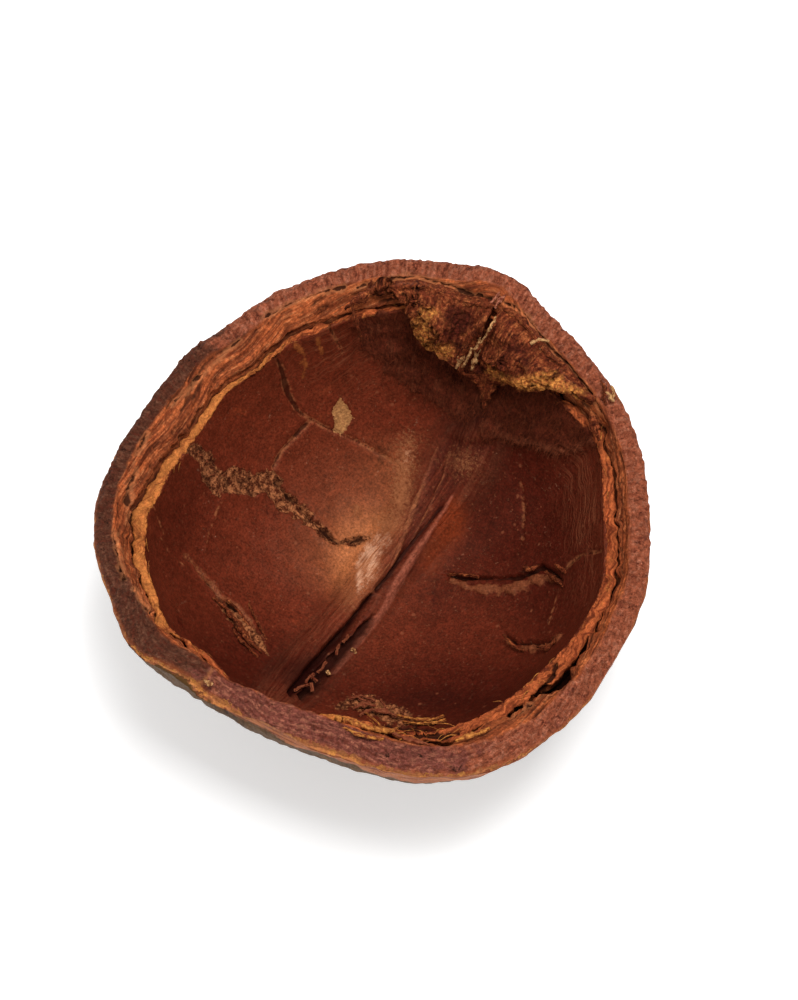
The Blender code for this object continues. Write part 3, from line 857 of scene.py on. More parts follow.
def lining_rings(degrees):
    """Rings of the lining from under the floor, up its back, over the torn edge and down its face."""
    radius = lining_radius(degrees)
    circle = ring_point(degrees, RIM_RADIUS, 0.0)
    top = lining_top(degrees) + 0.5 * rough(circle, 3.0, 26) + 0.25 * rough(circle, 1.0, 27)
    lip = lining_lip(degrees)
    floor = rim_height(degrees) - STRIP_DROP - round_table(degrees, GAP_DEPTHS)
    rings = []
    for share in np.linspace(0.06, 0.8, 12):
        reach, height = lining_point(degrees, share)
        rings.append((reach + LINING_THICKNESS * share ** 3, height - LINING_THICKNESS - 0.3, 0.0, share))
    for share in np.linspace(0.0, 1.0, 10):
        bulge = 0.5 * (1 - share)
        rings.append((lip - bulge, floor - 1.5 + (top - 0.25 - floor + 1.5) * share, 1.0, share))
    for share in np.linspace(0.1, 0.92, 9):
        crown = 0.3 * math.sin(math.pi * min(1.0, share + 0.1))
        rings.append((lip - (lip - radius) * share, top - 0.1 + crown + 0 * degrees, 2.0, share))
    for share in np.linspace(1.0, 0.0, 119)[:-1]:
        rings.append((*lining_point(degrees, share), 3.0, 1.0 - share))
    return rings


def keel_rise(points):
    """Height of the keel over the lining, and coordinates across and along it."""
    path = [(x, y, half) for x, y, half, _height in KEEL]
    best = np.full(points.shape[:-1], 1e6)
    across = np.zeros(points.shape[:-1])
    along = np.zeros(points.shape[:-1])
    height = np.zeros(points.shape[:-1])
    start = 0.0
    for (x0, y0, half0), (x1, y1, half1), low, high in zip(path, path[1:], KEEL, KEEL[1:]):
        run = np.array((x1 - x0, y1 - y0))
        length = np.linalg.norm(run)
        away = points[..., :2] - (x0, y0)
        share = np.clip(away @ run / length ** 2, 0, 1)
        miss = away - share[..., None] * run
        side = (run[0] * away[..., 1] - run[1] * away[..., 0]) / length
        distance = np.linalg.norm(miss, axis=-1)
        closer = distance < best
        best = np.where(closer, distance, best)
        across = np.where(closer, np.sign(side) * distance / (half0 + (half1 - half0) * share), across)
        along = np.where(closer, start + share * length, along)
        height = np.where(closer, low[3] + (high[3] - low[3]) * share, height)
        start += length
    inner = np.minimum(np.abs(across), 1.0)
    return height * (1 - inner ** 2) ** 1.4, across, along


def shape_lining():
    """Grid of the lining with its keel, cracks, torn layers and chips, and the masks that colour them."""
    degrees = np.arange(LINING_POINTS) * 360.0 / LINING_POINTS
    rings = lining_rings(degrees)
    grid = np.stack([ring_point(degrees, reach, height) for reach, height, _part, _share in rings])
    part = np.array([ring[2] for ring in rings])[:, None] + 0 * degrees
    face = (part == 3.0).astype(float)
    onward = run_onward(grid)
    face_ring = int(np.argmax(part[:, 0] == 3.0))
    down = onward - onward[face_ring]
    normals = grid_normals(grid)
    rise, across, along = keel_rise(grid)
    keel_end = smooth_step(down, 1.0, 6.0)
    grid = grid + normals * (rise * face * keel_end)[..., None]
    normals = grid_normals(grid)
    pixels = to_picture(grid)
    seen = face * (normals @ VIEW_BACK > 0.02)
    wobble = 0.45 * rough(grid, 2.2, 31) + 0.45 * rough(grid, 0.9, 32)

    def by_lines(share, *paths):
        """Distance from the nearest line, moved by a share of the wobble, where the eye sees the face."""
        nearest = np.min([from_line(pixels, path)[0] for path in paths], axis=0)
        return np.where(seen > 0, nearest + share * wobble, FAR)

    def by_outlines(share, *outlines):
        """Distance from the nearest outline, moved by a share of the wobble, where the eye sees the face."""
        nearest = np.min([from_outline(pixels, outline) for outline in outlines], axis=0)
        return np.where(seen > 0, nearest + share * wobble, FAR)

    broad = by_lines(1.0, BROAD_CRACK, SLIT_TEAR, LOW_TEAR)
    broad_shadow = by_lines(0.4, BROAD_SHADOW)
    fine = by_lines(0.25, *FINE_CRACKS)
    pale = by_lines(0.2, *PALE_LINES)
    slit = by_lines(0.5, SLIT)
    slit_side = from_line(pixels, SLIT)[1]
    crack = by_lines(0.4, RIGHT_CRACK, LOW_CRACK)
    ledge = by_lines(1.1, RIGHT_LEDGE, LOW_LEDGE)
    patch = by_outlines(0.3, PATCH)
    felt = by_outlines(1.6, FELT_RIGHT, FELT_LEFT)
    fringe = by_lines(0.5, FELT_FRINGE)
    streaks = by_lines(0.9, *OCHRE_STREAKS)
    hole = np.min([from_line(pixels, path)[0] for path in HOLES], axis=0)
    hole = np.where(normals @ VIEW_BACK > 0.02, hole + 0.6 * wobble, FAR)
    valley = by_outlines(0.3, VALLEY)
    ridge = by_lines(0.15, *LEFT_RIDGES)
    stout = by_lines(0.2, RIGHT_RIDGE)
    groove = by_lines(0.3, *GROOVES)

    shift = face * (0.35 * rough(grid, 15.0, 33, 2) + 0.05 * rough(grid, 1.6, 34))
    inside = smooth_step(-broad, -0.1, 0.9)
    flaky = 0.36 * rough(grid, 1.5, 35) + 0.2 * rough(grid, 0.7, 42, 2)
    shift = shift - inside * (0.35 - flaky) + 0.12 * bell(broad - 0.3, 0.5)
    shift = shift - 0.7 * smooth_step(-broad_shadow, -0.3, 0.15)
    shift = shift - 0.4 * smooth_step(-fine, -0.35, 0.15)
    shift = shift + 0.12 * bell(pale, 0.35)
    shift = shift - 1.0 * smooth_step(-slit, -0.3, 0.2) + 0.22 * bell(slit - 0.4, 0.4) * (slit_side > 0)
    ledge_top = 0.3 + 0.3 * rough(grid, 1.6, 40) + 0.2 * rough(grid, 0.7, 41)
    shift = shift + ledge_top * smooth_step(-ledge, -0.35, 0.35) - 1.0 * smooth_step(-crack, -0.3, 0.2)
    shift = shift - 0.25 * smooth_step(-patch, -0.1, 0.15)
    shift = shift + (0.35 + 0.35 * rough(grid, 2.4, 36)) * smooth_step(-felt, -0.3, 0.7)
    shift = shift + 0.3 * smooth_step(-fringe, -0.5, 0.3)
    shift = shift + 0.2 * smooth_step(-streaks, -0.2, 0.2)
    shift = shift - 0.45 * smooth_step(-valley, -0.5, 1.0) + 0.3 * smooth_step(-ridge, -0.3, 0.2)
    shift = shift - 0.8 * smooth_step(-hole, -0.2, 0.2)
    shift = shift + 0.55 * smooth_step(-stout, -0.5, 0.5)
    deep = 0.5 + 2.0 * smooth_step(pixels[..., 1], 545, 650)
    shift = shift - deep * smooth_step(-groove, -0.6, 0.35)
    edge = (part == 2.0) | (part == 1.0)
    torn = 0.2 * rough(grid, 1.8, 37) + 0.1 * rough(grid, 0.6, 38)
    shift = shift + np.where(edge, torn, 0.0) + 0.12 * bell(down, 0.8) * rough(grid, 0.9, 39)
    grid = grid + normals * shift[..., None]
    masks = {"onward_length": onward, "down": down, "broad": broad, "broad_shadow": broad_shadow,
             "fine": fine, "pale_line": pale, "slit": slit, "crack": crack, "ledge": ledge, "patch": patch,
             "felt": felt, "felt_fringe": fringe, "streaks": streaks, "groove": groove,
             "keel_across": across, "keel_along": along, "valley": valley, "ridge": ridge, "stout": stout,
             "dusty": spots_at(pixels, CRUMBS_AND_SHEEN) * seen, "shine": spots_at(pixels, PAINTED_HIGHLIGHT) * seen,
             "glow": spots_at(pixels, GLOW) * seen, "dim": spots_at(pixels, PAINTED_SHADE) * seen, "hole": hole,
             "ochre_rim": near(degrees, ((205, 1.0, 22), (165, 0.8, 16), (228, 0.7, 10), (285, 0.9, 9)))
             + 0 * down, "tone": spots_at(pixels, TONE_AND_PAINTED_LIGHT) * seen,
             "striated": spots_at(pixels, STRIATED) * seen}
    return grid, masks, pixels


def husk_finish(tones):
    """Olive skin, ochre edge line, corky band, orange-brown strip, and a gap painted darker with depth as
    shade.
    """
    material, tree, shader, spots = new_material("husk_finish")
    band_in, strip_in, gap_in = mask(tree, "band_in"), mask(tree, "strip_in"), mask(tree, "gap_in")
    blotch = cloud(tree, spots, 0.22, 4.0, 0.65)
    patch = cloud(tree, spots, 0.55, 4.0, 0.7)
    skin = mottled(tree, spots, tones, "skin", 3.5, 0.35)
    skin_strands = strands(tree, spots, 0.8, 5.0, 0.6)
    skin_colour = mix(tree, times(tree, skin_strands["Splits"], 0.6), skin["Color"], tones["skin_dark"])
    fringe_strands = strands(tree, spots, 5.0, 0.5, 0.8)
    fringe = mix(tree, stretch(tree, fringe_strands["Value"], 0.35, 0.65), tones["band_dark"],
                 tones["fringe"])
    reach = plus(tree, times(tree, mask(tree, "fringe"), 5.0), times(tree, minus(tree, patch, 0.5), 5.0))
    fringe_share = stretch(tree, plus(tree, band_in, reach), 0.0, 1.0)
    skin_colour = mix(tree, fringe_share, skin_colour, fringe)

    band = mottled(tree, spots, tones, "band", 1.5, 0.35)
    grey = mottled(tree, spots, tones, "aged", 1.1, 0.35)
    purple = place_group(tree, "mottled tones", Vector=spots, Size=2.2, Dark=tones["aged_dark"],
                         Middle=tones["purple"], Pale=tones["band_pale"], Contrast=0.4)
    drift = times(tree, minus(tree, blotch, 0.5), 2.2)
    aged = stretch(tree, plus(tree, mask(tree, "aged"), drift), 0.3, 0.7)
    aged = times(tree, aged, stretch(tree, mask(tree, "end"), 0.2, -0.2))
    plum = stretch(tree, plus(tree, mask(tree, "purple"), drift), 0.35, 0.75)
    band_colour = mix(tree, plum, mix(tree, aged, band["Color"], grey["Color"]), purple["Color"])
    grain = place_group(tree, "corky grain", Vector=spots, Size=0.5, Warp=0.8)
    radial = strands(tree, spots, 0.7, 2.0, 0.3)
    lengthwise = strands(tree, spots, 1.9, 0.6, 0.3)
    turned = swayed(tree, mask(tree, "radial"), patch, 2.0)
    lines = mix_values(tree, stretch(tree, turned, 0.2, 0.8), lengthwise["Value"], radial["Value"])
    dusty = mix(tree, aged, tones["band_pale"], tones["aged_pale"])
    band_colour = mix(tree, stretch(tree, lines, 0.51, 0.6, 0.0, 0.5), band_colour, dusty)
    band_colour = mix(tree, stretch(tree, lines, 0.46, 0.37, 0.0, 0.7), band_colour, tones["band_dark"])
    band_colour = mix(tree, times(tree, grain["Pits"], 0.35), band_colour, tones["aged_dark"])
    band_colour = speckle(tree, band_colour, spots, 0.45, 0.65, 1.42)
    band_colour = speckle(tree, band_colour, spots, 1.4, 0.78, 1.2, 3.0)
    end = swayed(tree, mask(tree, "end"), patch, 1.5)
    end_line = times(tree, stretch(tree, end, -0.5, 0.0), stretch(tree, end, 0.6, 0.1))
    band_colour = mix(tree, times(tree, end_line, 0.6), band_colour, tones["fringe"])
    warm = stretch(tree, plus(tree, band_in, times(tree, drift, 0.6)), 1.1, 0.1)
    band_colour = mix(tree, times(tree, warm, 0.5), band_colour, tones["strip"])

    along = strands(tree, spots, 9.0, 0.6, 0.3)
    finer = strands(tree, spots, 3.5, 0.22, 0.25)
    strip_tone = stretch(tree, along["Value"], 0.36, 0.62)
    strip_colour = mix(tree, strip_tone, tones["strip_dark"], tones["strip"])
    strip_colour = mix(tree, stretch(tree, finer["Value"], 0.52, 0.66, 0.0, 0.6), strip_colour,
                       tones["strip_pale"])
    step = maths(tree, "FRACT", plus(tree, mask(tree, "layer"), 20.0))
    step = times(tree, stretch(tree, step, 0.05, 0.4), stretch(tree, step, 0.95, 0.6))
    strip_colour = mix(tree, times(tree, step, 0.2), strip_colour, tones["crack"])
    under = stretch(tree, maths(tree, "SINE", times(tree, mask(tree, "layer"), 2.4)), 0.0, 0.9)
    strip_colour = mix(tree, times(tree, under, 0.5), strip_colour, tones["torn_dark"])
    strip_colour = speckle(tree, strip_colour, spots, 0.5, 0.55, 1.5)
    rust = stretch(tree, patch, 0.55, 0.42)
    strip_colour = mix(tree, times(tree, rust, 0.5), strip_colour, tones["torn_dark"])
    cut = maths(tree, "MAXIMUM", times(tree, along["Splits"], 0.45), mask(tree, "split"))
    strip_colour = mix(tree, times(tree, cut, 0.8), strip_colour, tones["crack"])

    skin_edge = place_group(tree, "ragged border", Distance=band_in, Vector=spots, Size=1.6, Tear=0.75,
                            Softness=0.1)
    strip_edge = place_group(tree, "ragged border", Distance=strip_in, Vector=spots, Size=1.6, Tear=0.6,
                             Softness=0.5)
    line_width = times(tree, plus(tree, mask(tree, "ochre_edge"), 0.3),
                       stretch(tree, patch, 0.35, 0.62, 0.0, 0.75))
    away = maths(tree, "ABSOLUTE", skin_edge["Distance"])
    line = maths(tree, "LESS_THAN", away, line_width)
    line_tone = mix(tree, stretch(tree, blotch, 0.4, 0.6), tones["fringe"], tones["ochre"])
    colour = mix(tree, skin_edge["Mask"], skin_colour, band_colour)
    colour = mix(tree, times(tree, line, 0.8), colour, speckle(tree, line_tone, spots, 0.5, 0.6, 1.2))
    colour = mix(tree, strip_edge["Mask"], colour, strip_colour)
    split = stretch(tree, mask(tree, "crack"), 0.12, -0.12)
    torn_side = stretch(tree, mask(tree, "crack"), 0.7, 0.15, 0.0, 0.3)
    colour = mix(tree, torn_side, colour, tones["strip_pale"])
    colour = mix(tree, times(tree, split, 0.92), colour, tones["crack"])
    # Painted shade: the gap darkens to near black the deeper it goes
    colour = mix(tree, stretch(tree, gap_in, 0.3, 3.0), colour, tones["crack"])

    height = mix_values(tree, skin_edge["Mask"], times(tree, skin_strands["Value"], 0.5),
                        plus(tree, times(tree, grain["Height"], 0.35), times(tree, lines, 0.5)))
    strip_height = plus(tree, times(tree, along["Value"], 0.3), times(tree, finer["Value"], 0.1))
    height = mix_values(tree, strip_edge["Mask"], height, strip_height)
    roughness = stretch(tree, cloud(tree, spots, 1.2), 0.3, 0.7, 0.6, 0.8)
    wire_finish(tree, shader, colour, roughness, height)
    return material


def mix_values(tree, share, low, high):
    node = add(tree, "ShaderNodeMix", {0: share, 2: low, 3: high}, data_type="FLOAT")
    return node.outputs[0]


def lining_finish(tones):
    """Satin red-brown skin with granular cracks, felted layers, pale fan strands and an ochre torn edge,
    with a painted highlight beside the keel and painted shade on the walls, in the groove, low down and in
    the gap.
    """
    material, tree, shader, spots = new_material("lining_finish")
    base = mottled(tree, spots, tones, "lining", 7.0, 0.5)
    speck = cloud(tree, spots, 2.6, 5.0, 0.8)
    # The tone mask paints a highlight beside the keel, and shade towards the dark lining tone on the walls,
    # the low floor and under the lobes, over some real change of tone
    tone = mask(tree, "tone")
    colour = mix(tree, stretch(tree, tone, 0.0, 1.0, 0.0, 0.85), base["Color"], tones["lining_pale_and_sheen"])
    colour = mix(tree, stretch(tree, tone, 0.0, -0.8, 0.0, 0.9), colour, tones["lining_dark"])
    colour = speckle(tree, colour, spots, 0.4, 0.55, 1.45)
    colour = speckle(tree, colour, spots, 1.3, 0.82, 1.18, 3.0)
    colour = speckle(tree, colour, spots, 4.0, 0.88, 1.12, 3.0)
    fibre = strands(tree, spots, 8.0, 0.3, 0.25)
    striated = mask(tree, "striated")
    lines = times(tree, stretch(tree, fibre["Value"], 0.5, 0.62), striated)
    colour = mix(tree, times(tree, lines, 0.8), colour, tones["felt_pale"])

    across, along = mask(tree, "keel_across"), mask(tree, "keel_along")
    place = add(tree, "ShaderNodeCombineXYZ", (times(tree, across, 9.0), times(tree, along, 0.16),
                                               0.0)).outputs[0]
    fan = place_group(tree, "woody strands", Vector=place, Waviness=0.7)
    ragged_side = plus(tree, maths(tree, "ABSOLUTE", across), minus(tree, speck, 0.5))
    fan_place = stretch(tree, ragged_side, 1.5, 0.6)
    fan_colour = mix(tree, stretch(tree, fan["Value"], 0.38, 0.62), tones["fan_dark"], tones["fan_pale"])
    fan_colour = speckle(tree, fan_colour, spots, 0.5, 0.5, 1.5)
    colour = mix(tree, times(tree, fan_place, 0.3), colour, fan_colour)
    glow = times(tree, stretch(tree, mask(tree, "glow"), 0.1, 0.9), 0.7)
    colour = mix(tree, glow, colour, speckle(tree, tones["glow"], spots, 0.5, 0.5, 1.5))
    valley = ragged(tree, spots, "valley", 1.2, 0.5, 0.7)["Mask"]
    valley_colour = mix(tree, stretch(tree, fan["Value"], 0.42, 0.62), tones["valley"], tones["fan_dark"])
    valley_colour = speckle(tree, valley_colour, spots, 0.5, 0.5, 1.5)
    colour = mix(tree, times(tree, valley, 0.85), colour, valley_colour)
    coarse = add(tree, "ShaderNodeCombineXYZ", (times(tree, across, 5.0), times(tree, along, 0.6),
                                                0.0)).outputs[0]
    grit = cloud(tree, coarse, 1.0, 5.0, 0.8)
    crumbs = cloud(tree, spots, 1.7, 6.0, 0.85)
    loose = times(tree, minus(tree, crumbs, 0.5), 4.0)
    # Pale crumbs along the keel, partly a painted highlight
    dusty = stretch(tree, plus(tree, mask(tree, "dusty"), loose), 0.2, 1.5)
    colour = mix(tree, times(tree, dusty, 0.8), colour, tones["dusty"])
    # Painted highlight: pale pink-white streaks beside the keel
    shine = swayed(tree, mask(tree, "shine"), grit, 2.6)
    shine = stretch(tree, plus(tree, shine, times(tree, loose, 0.6)), 0.3, 1.6)
    painted_highlight_tone = mix(tree, stretch(tree, fan["Value"], 0.36, 0.6), tones["dusty"], tones["shine"])
    colour = mix(tree, times(tree, shine, 0.9), colour, painted_highlight_tone)
    ridge_tone = mix(tree, stretch(tree, fan["Value"], 0.4, 0.6), tones["fan_pale"], tones["torn"])
    ridge_tone = speckle(tree, ridge_tone, spots, 0.6, 0.55, 1.2)
    patchy = stretch(tree, grit, 0.35, 0.6, 0.35, 1.0)
    for name, share, shade in (("ridge", 0.6, ridge_tone), ("stout", 0.7, tones["stout"])):
        band = times(tree, stretch(tree, mask(tree, name), 0.25, -0.15), patchy)
        colour = mix(tree, times(tree, band, share), colour, speckle(tree, shade, spots, 0.5, 0.55, 1.4))
    # Painted shade: darkens the lining towards the groove tone at the shaded spots
    dim = swayed(tree, mask(tree, "dim"), grit, 0.8)
    colour = mix(tree, stretch(tree, dim, 0.1, 0.9, 0.0, 0.8), colour, tones["groove"])

    grain = place_group(tree, "corky grain", Vector=spots, Size=1.2, Warp=0.9)
    torn_tone = mix(tree, stretch(tree, cloud(tree, spots, 1.0, 5.0, 0.7), 0.4, 0.6), tones["torn_dark"],
                    tones["torn"])
    torn_tone = speckle(tree, torn_tone, spots, 0.5, 0.6, 1.4)
    torn_tone = mix(tree, times(tree, grain["Pits"], 0.6), torn_tone, tones["crack"])
    broad = ragged(tree, spots, "broad", 0.8, 0.6, 0.12)["Mask"]
    colour = mix(tree, broad, colour, torn_tone)
    felt = ragged(tree, spots, "felt", 0.9, 0.8, 0.6)
    fuzz = cloud(tree, spots, 1.1, 6.0, 0.8)
    felt_tone = mix(tree, stretch(tree, fuzz, 0.4, 0.6), tones["felt_dark"], tones["felt"])
    felt_tone = speckle(tree, felt_tone, spots, 3.4, 0.5, 1.55, 4.0)
    plush = strands(tree, spots, 0.9, 4.0, 0.9)
    felt_tone = mix(tree, stretch(tree, plush["Value"], 0.52, 0.66, 0.0, 0.5), felt_tone, tones["felt_pale"])
    rim_of_felt = times(tree, felt["Mask"], stretch(tree, felt["Distance"], 1.0, 0.1))
    felt_tone = mix(tree, times(tree, rim_of_felt, 0.35), felt_tone, tones["felt_pale"])
    felt_tone = speckle(tree, felt_tone, spots, 0.45, 0.5, 1.6)
    colour = mix(tree, times(tree, felt["Mask"], 0.75), colour, felt_tone)
    hairs = strands(tree, spots, 0.35, 2.5, 0.4)
    tufts = swayed(tree, mask(tree, "felt_fringe"), hairs["Value"], 4.0)
    tufts = times(tree, stretch(tree, tufts, 0.5, -0.5), 0.5)
    colour = mix(tree, tufts, colour, speckle(tree, tones["felt_pale"], spots, 0.5, 0.6, 1.3))

    for name, shade, width in (("ledge", "ledge", 0.3), ("patch", "patch", 0.06),
                               ("streaks", "ochre_dim", 0.3)):
        place = ragged(tree, spots, name, 0.8, 0.45, width)["Mask"]
        spotty = mix(tree, stretch(tree, speck, 0.4, 0.6), tones["torn_dark"], tones[shade])
        share = 0.35 if name == "ledge" else 0.6
        spotty = speckle(tree, mix(tree, share, spotty, tones[shade]), spots, 0.6, 0.6, 1.4)
        colour = mix(tree, place, colour, spotty)
    lip = times(tree, stretch(tree, mask(tree, "slit"), 0.7, 0.1), stretch(tree, speck, 0.4, 0.6, 0.0, 0.5))
    colour = mix(tree, lip, colour, tones["torn"])
    broken = stretch(tree, cloud(tree, spots, 0.7, 4.0, 0.7), 0.44, 0.58)
    pale = times(tree, stretch(tree, mask(tree, "pale_line"), 0.15, -0.05), broken)
    colour = mix(tree, times(tree, pale, 0.5), colour, tones["torn"])
    halo = times(tree, stretch(tree, mask(tree, "fine"), 0.4, 0.1), broken)
    colour = mix(tree, times(tree, halo, 0.4), colour, tones["torn"])
    for name, share in (("fine", 0.8), ("broad_shadow", 0.9), ("slit", 0.9), ("crack", 0.95)):
        dark = stretch(tree, mask(tree, name), 0.12, -0.12)
        colour = mix(tree, times(tree, dark, share), colour, tones["crack"])
    trench = stretch(tree, mask(tree, "groove"), 0.25, -0.2)
    colour = mix(tree, times(tree, trench, 0.93), colour, tones["groove"])

    down = mask(tree, "down")
    edge = place_group(tree, "ragged border", Distance=times(tree, down, -1.0), Vector=spots, Size=1.6,
                       Tear=0.8, Softness=0.15)["Mask"]
    edge_fibre = strands(tree, spots, 6.0, 0.45, 0.2)
    ochre_share = swayed(tree, mask(tree, "ochre_rim"), cloud(tree, spots, 0.5, 4.0), 2.2)
    ochre_share = times(tree, stretch(tree, ochre_share, 0.15, 0.75),
                        stretch(tree, edge_fibre["Value"], 0.36, 0.54, 0.4, 1.0))
    wood = mix(tree, stretch(tree, edge_fibre["Value"], 0.38, 0.62), tones["strip_dark"], tones["strip"])
    edge_tone = mix(tree, ochre_share, wood, mix(tree, fuzz, tones["strip"], tones["ochre"]))
    edge_tone = mix(tree, times(tree, edge_fibre["Splits"], 0.12), edge_tone, tones["torn_dark"])
    edge_tone = speckle(tree, edge_tone, spots, 1.6, 0.7, 1.25, 3.0)
    edge_tone = speckle(tree, edge_tone, spots, 0.5, 0.65, 1.35)
    # Painted shade: the lining's side darkens to near black as it runs down into the gap
    deep = stretch(tree, down, -3.4, -5.4)
    edge_tone = mix(tree, deep, edge_tone, tones["crack"])
    colour = mix(tree, edge, colour, edge_tone)
    hole = stretch(tree, mask(tree, "hole"), 0.12, -0.12)
    colour = mix(tree, times(tree, hole, 0.95), colour, tones["crack"])
    for size, share in ((1.5, 0.05), (0.8, 0.04)):
        dust = place_group(tree, "flecks", Vector=spots, Size=size, Share=share)["Mask"]
        colour = mix(tree, times(tree, dust, 0.5), colour, tones["felt_pale"])

    rough_places = maths(tree, "MAXIMUM", maths(tree, "MAXIMUM", broad, felt["Mask"]), edge)
    height = times(tree, speck, 0.07)
    for relief, place, amount in ((fibre["Value"], striated, 0.3), (fan["Value"], fan_place, 0.5),
                                  (grain["Height"], broad, 0.55), (fuzz, felt["Mask"], 0.45),
                                  (fuzz, edge, 0.25), (crumbs, dusty, 0.12)):
        height = plus(tree, height, times(tree, times(tree, relief, place), amount))
    satin = stretch(tree, speck, 0.3, 0.7, 0.34, 0.46)
    roughness = mix_values(tree, rough_places, satin, 0.75)
    wire_finish(tree, shader, colour, roughness, height)
    return material


def tissue_finish(tones, name, ochre_low):
    """Torn stem tissue: orange-brown above, hollows painted dark red-brown as shade, and an ochre free edge.
    """
    material, tree, shader, spots = new_material(name)
    fuzz = cloud(tree, spots, 0.9, 6.0, 0.75)
    body = mottled(tree, spots, tones, "tissue", 2.2, 0.25)
    fall = mask(tree, "fall")
    hair = strands(tree, spots, 0.6, 3.0, 0.7)
    body_colour = mix(tree, stretch(tree, hair["Value"], 0.5, 0.62, 0.0, 0.6), body["Color"],
                      tones["tissue_pale"])
    body_colour = mix(tree, stretch(tree, hair["Value"], 0.46, 0.38, 0.0, 0.7), body_colour,
                      tones["tissue_dark"])
    # Painted shade: dark red-brown in the lobes' hollows
    hollow = swayed(tree, mask(tree, "hollow"), fuzz, 1.2)
    hollow = stretch(tree, hollow, 0.2, 1.3, 0.0, 0.85)
    colour = mix(tree, hollow, body_colour, speckle(tree, tones["tissue_dark"], spots, 0.9, 0.6, 1.7))
    edge = maths(tree, "MAXIMUM", stretch(tree, fall, ochre_low, ochre_low + 0.3), mask(tree, "ochre"))
    edge = swayed(tree, edge, fuzz, 1.2)
    edge = stretch(tree, edge, 0.45, 1.0)
    ochre = mix(tree, stretch(tree, cloud(tree, spots, 1.7, 4.0), 0.38, 0.62), tones["ochre_dim"],
                tones["ochre"])
    colour = mix(tree, edge, colour, ochre)
    grain = place_group(tree, "corky grain", Vector=spots, Size=0.7, Warp=0.8)
    colour = speckle(tree, colour, spots, 0.45, 0.55, 1.5)
    colour = speckle(tree, colour, spots, 1.8, 0.7, 1.35, 3.0)
    colour = mix(tree, times(tree, grain["Pits"], 0.4), colour, tones["tissue_dark"])
    under = stretch(tree, fall, 1.03, 1.2)
    colour = mix(tree, under, colour, tones["crack"])
    height = plus(tree, times(tree, grain["Height"], 0.2), times(tree, fuzz, 0.35))
    roughness = stretch(tree, fuzz, 0.3, 0.7, 0.6, 0.8)
    wire_finish(tree, shader, colour, roughness, height)
    return material


def fibre_finish(name, dark, pale):
    """Dry fibre or splinter, mottled between two tones."""
    material, tree, shader, spots = new_material(name)
    tone = cloud(tree, spots, 1.3, 4.0, 0.7)
    colour = mix(tree, stretch(tree, tone, 0.35, 0.65), dark, pale)
    roughness = stretch(tree, tone, 0.3, 0.7, 0.55, 0.75)
    wire_finish(tree, shader, colour, roughness, times(tree, tone, 0.2))
    return material


# Torn tissue under the stem end, in pixels of the photograph
# Marks are (x, y, reach across, reach down, amount)
STEM_LOBES = {
    "left_stem_lobe": {
        "top": ((368, 283), (381, 285), (393, 281), (416, 279), (436, 285), (450, 288), (464, 295),
                (485, 299),
                (496, 303)),
        "free": ((374, 291), (391, 292), (405, 306), (411, 321), (415, 336), (426, 349), (441, 359),
                 (453, 366),
                 (460, 372)),
        "lifts": (0.6, 1.5, 3.5, 5.0, 6.0, 6.5, 6.0, 5.0),
        "marks": ((460, 321, 11, 10, -2.2), (455, 340, 5, 9, -1.2), (447, 311, 7, 5, -0.8),
                  (425, 298, 18, 6, 1.0),
                  (462, 303, 12, 4, 0.5), (432, 333, 10, 12, 1.0), (483, 318, 4, 14, 1.2),
                   (470, 338, 4, 9, 0.9),
                  (412, 312, 6, 9, 0.5), (398, 288, 10, 4, -0.5)),
        "ochre": ((424, 333, 11, 16, 1.0), (443, 351, 13, 8, 0.9), (434, 312, 12, 5, 0.5),
                  (452, 296, 16, 4, 0.4)),
        "ochre_low": 0.86,
    },
    "right_stem_lobe": {
        "top": ((501, 307), (518, 311), (528, 320), (539, 336), (553, 355), (567, 366), (582, 384),
                (594, 398)),
        "free": ((468, 373), (482, 377), (500, 385), (518, 391), (532, 393), (553, 390), (571, 393),
                 (592, 402)),
        "lifts": (5.0, 5.5, 5.5, 5.5, 5.0, 4.0, 2.5, 1.0),
        "marks": ((512, 348, 11, 5, -1.5), (526, 362, 6, 9, -1.4), (522, 374, 7, 4, -0.7),
                  (503, 362, 8, 7, 1.3),
                  (490, 352, 6, 5, 0.6), (508, 326, 13, 9, 1.1), (545, 372, 14, 8, 1.2),
                   (537, 348, 8, 6, 0.5),
                  (565, 385, 11, 4, 0.6), (479, 368, 6, 5, -1.8), (487, 340, 3, 10, -0.7)),
        "ochre": ((493, 369, 12, 7, 1.0), (520, 383, 20, 6, 1.0), (548, 382, 15, 7, 0.9),
                  (577, 392, 14, 5, 0.8),
                  (530, 338, 6, 4, 0.5), (503, 334, 10, 4, 0.4)),
        "ochre_low": 0.88,
    },
}

# Steepest slopes away from the eye, in millimetres a millimetre, that lobes and flakes follow
LOBE_STEEPEST = 20.0
FLAKE_STEEPEST = 0.8

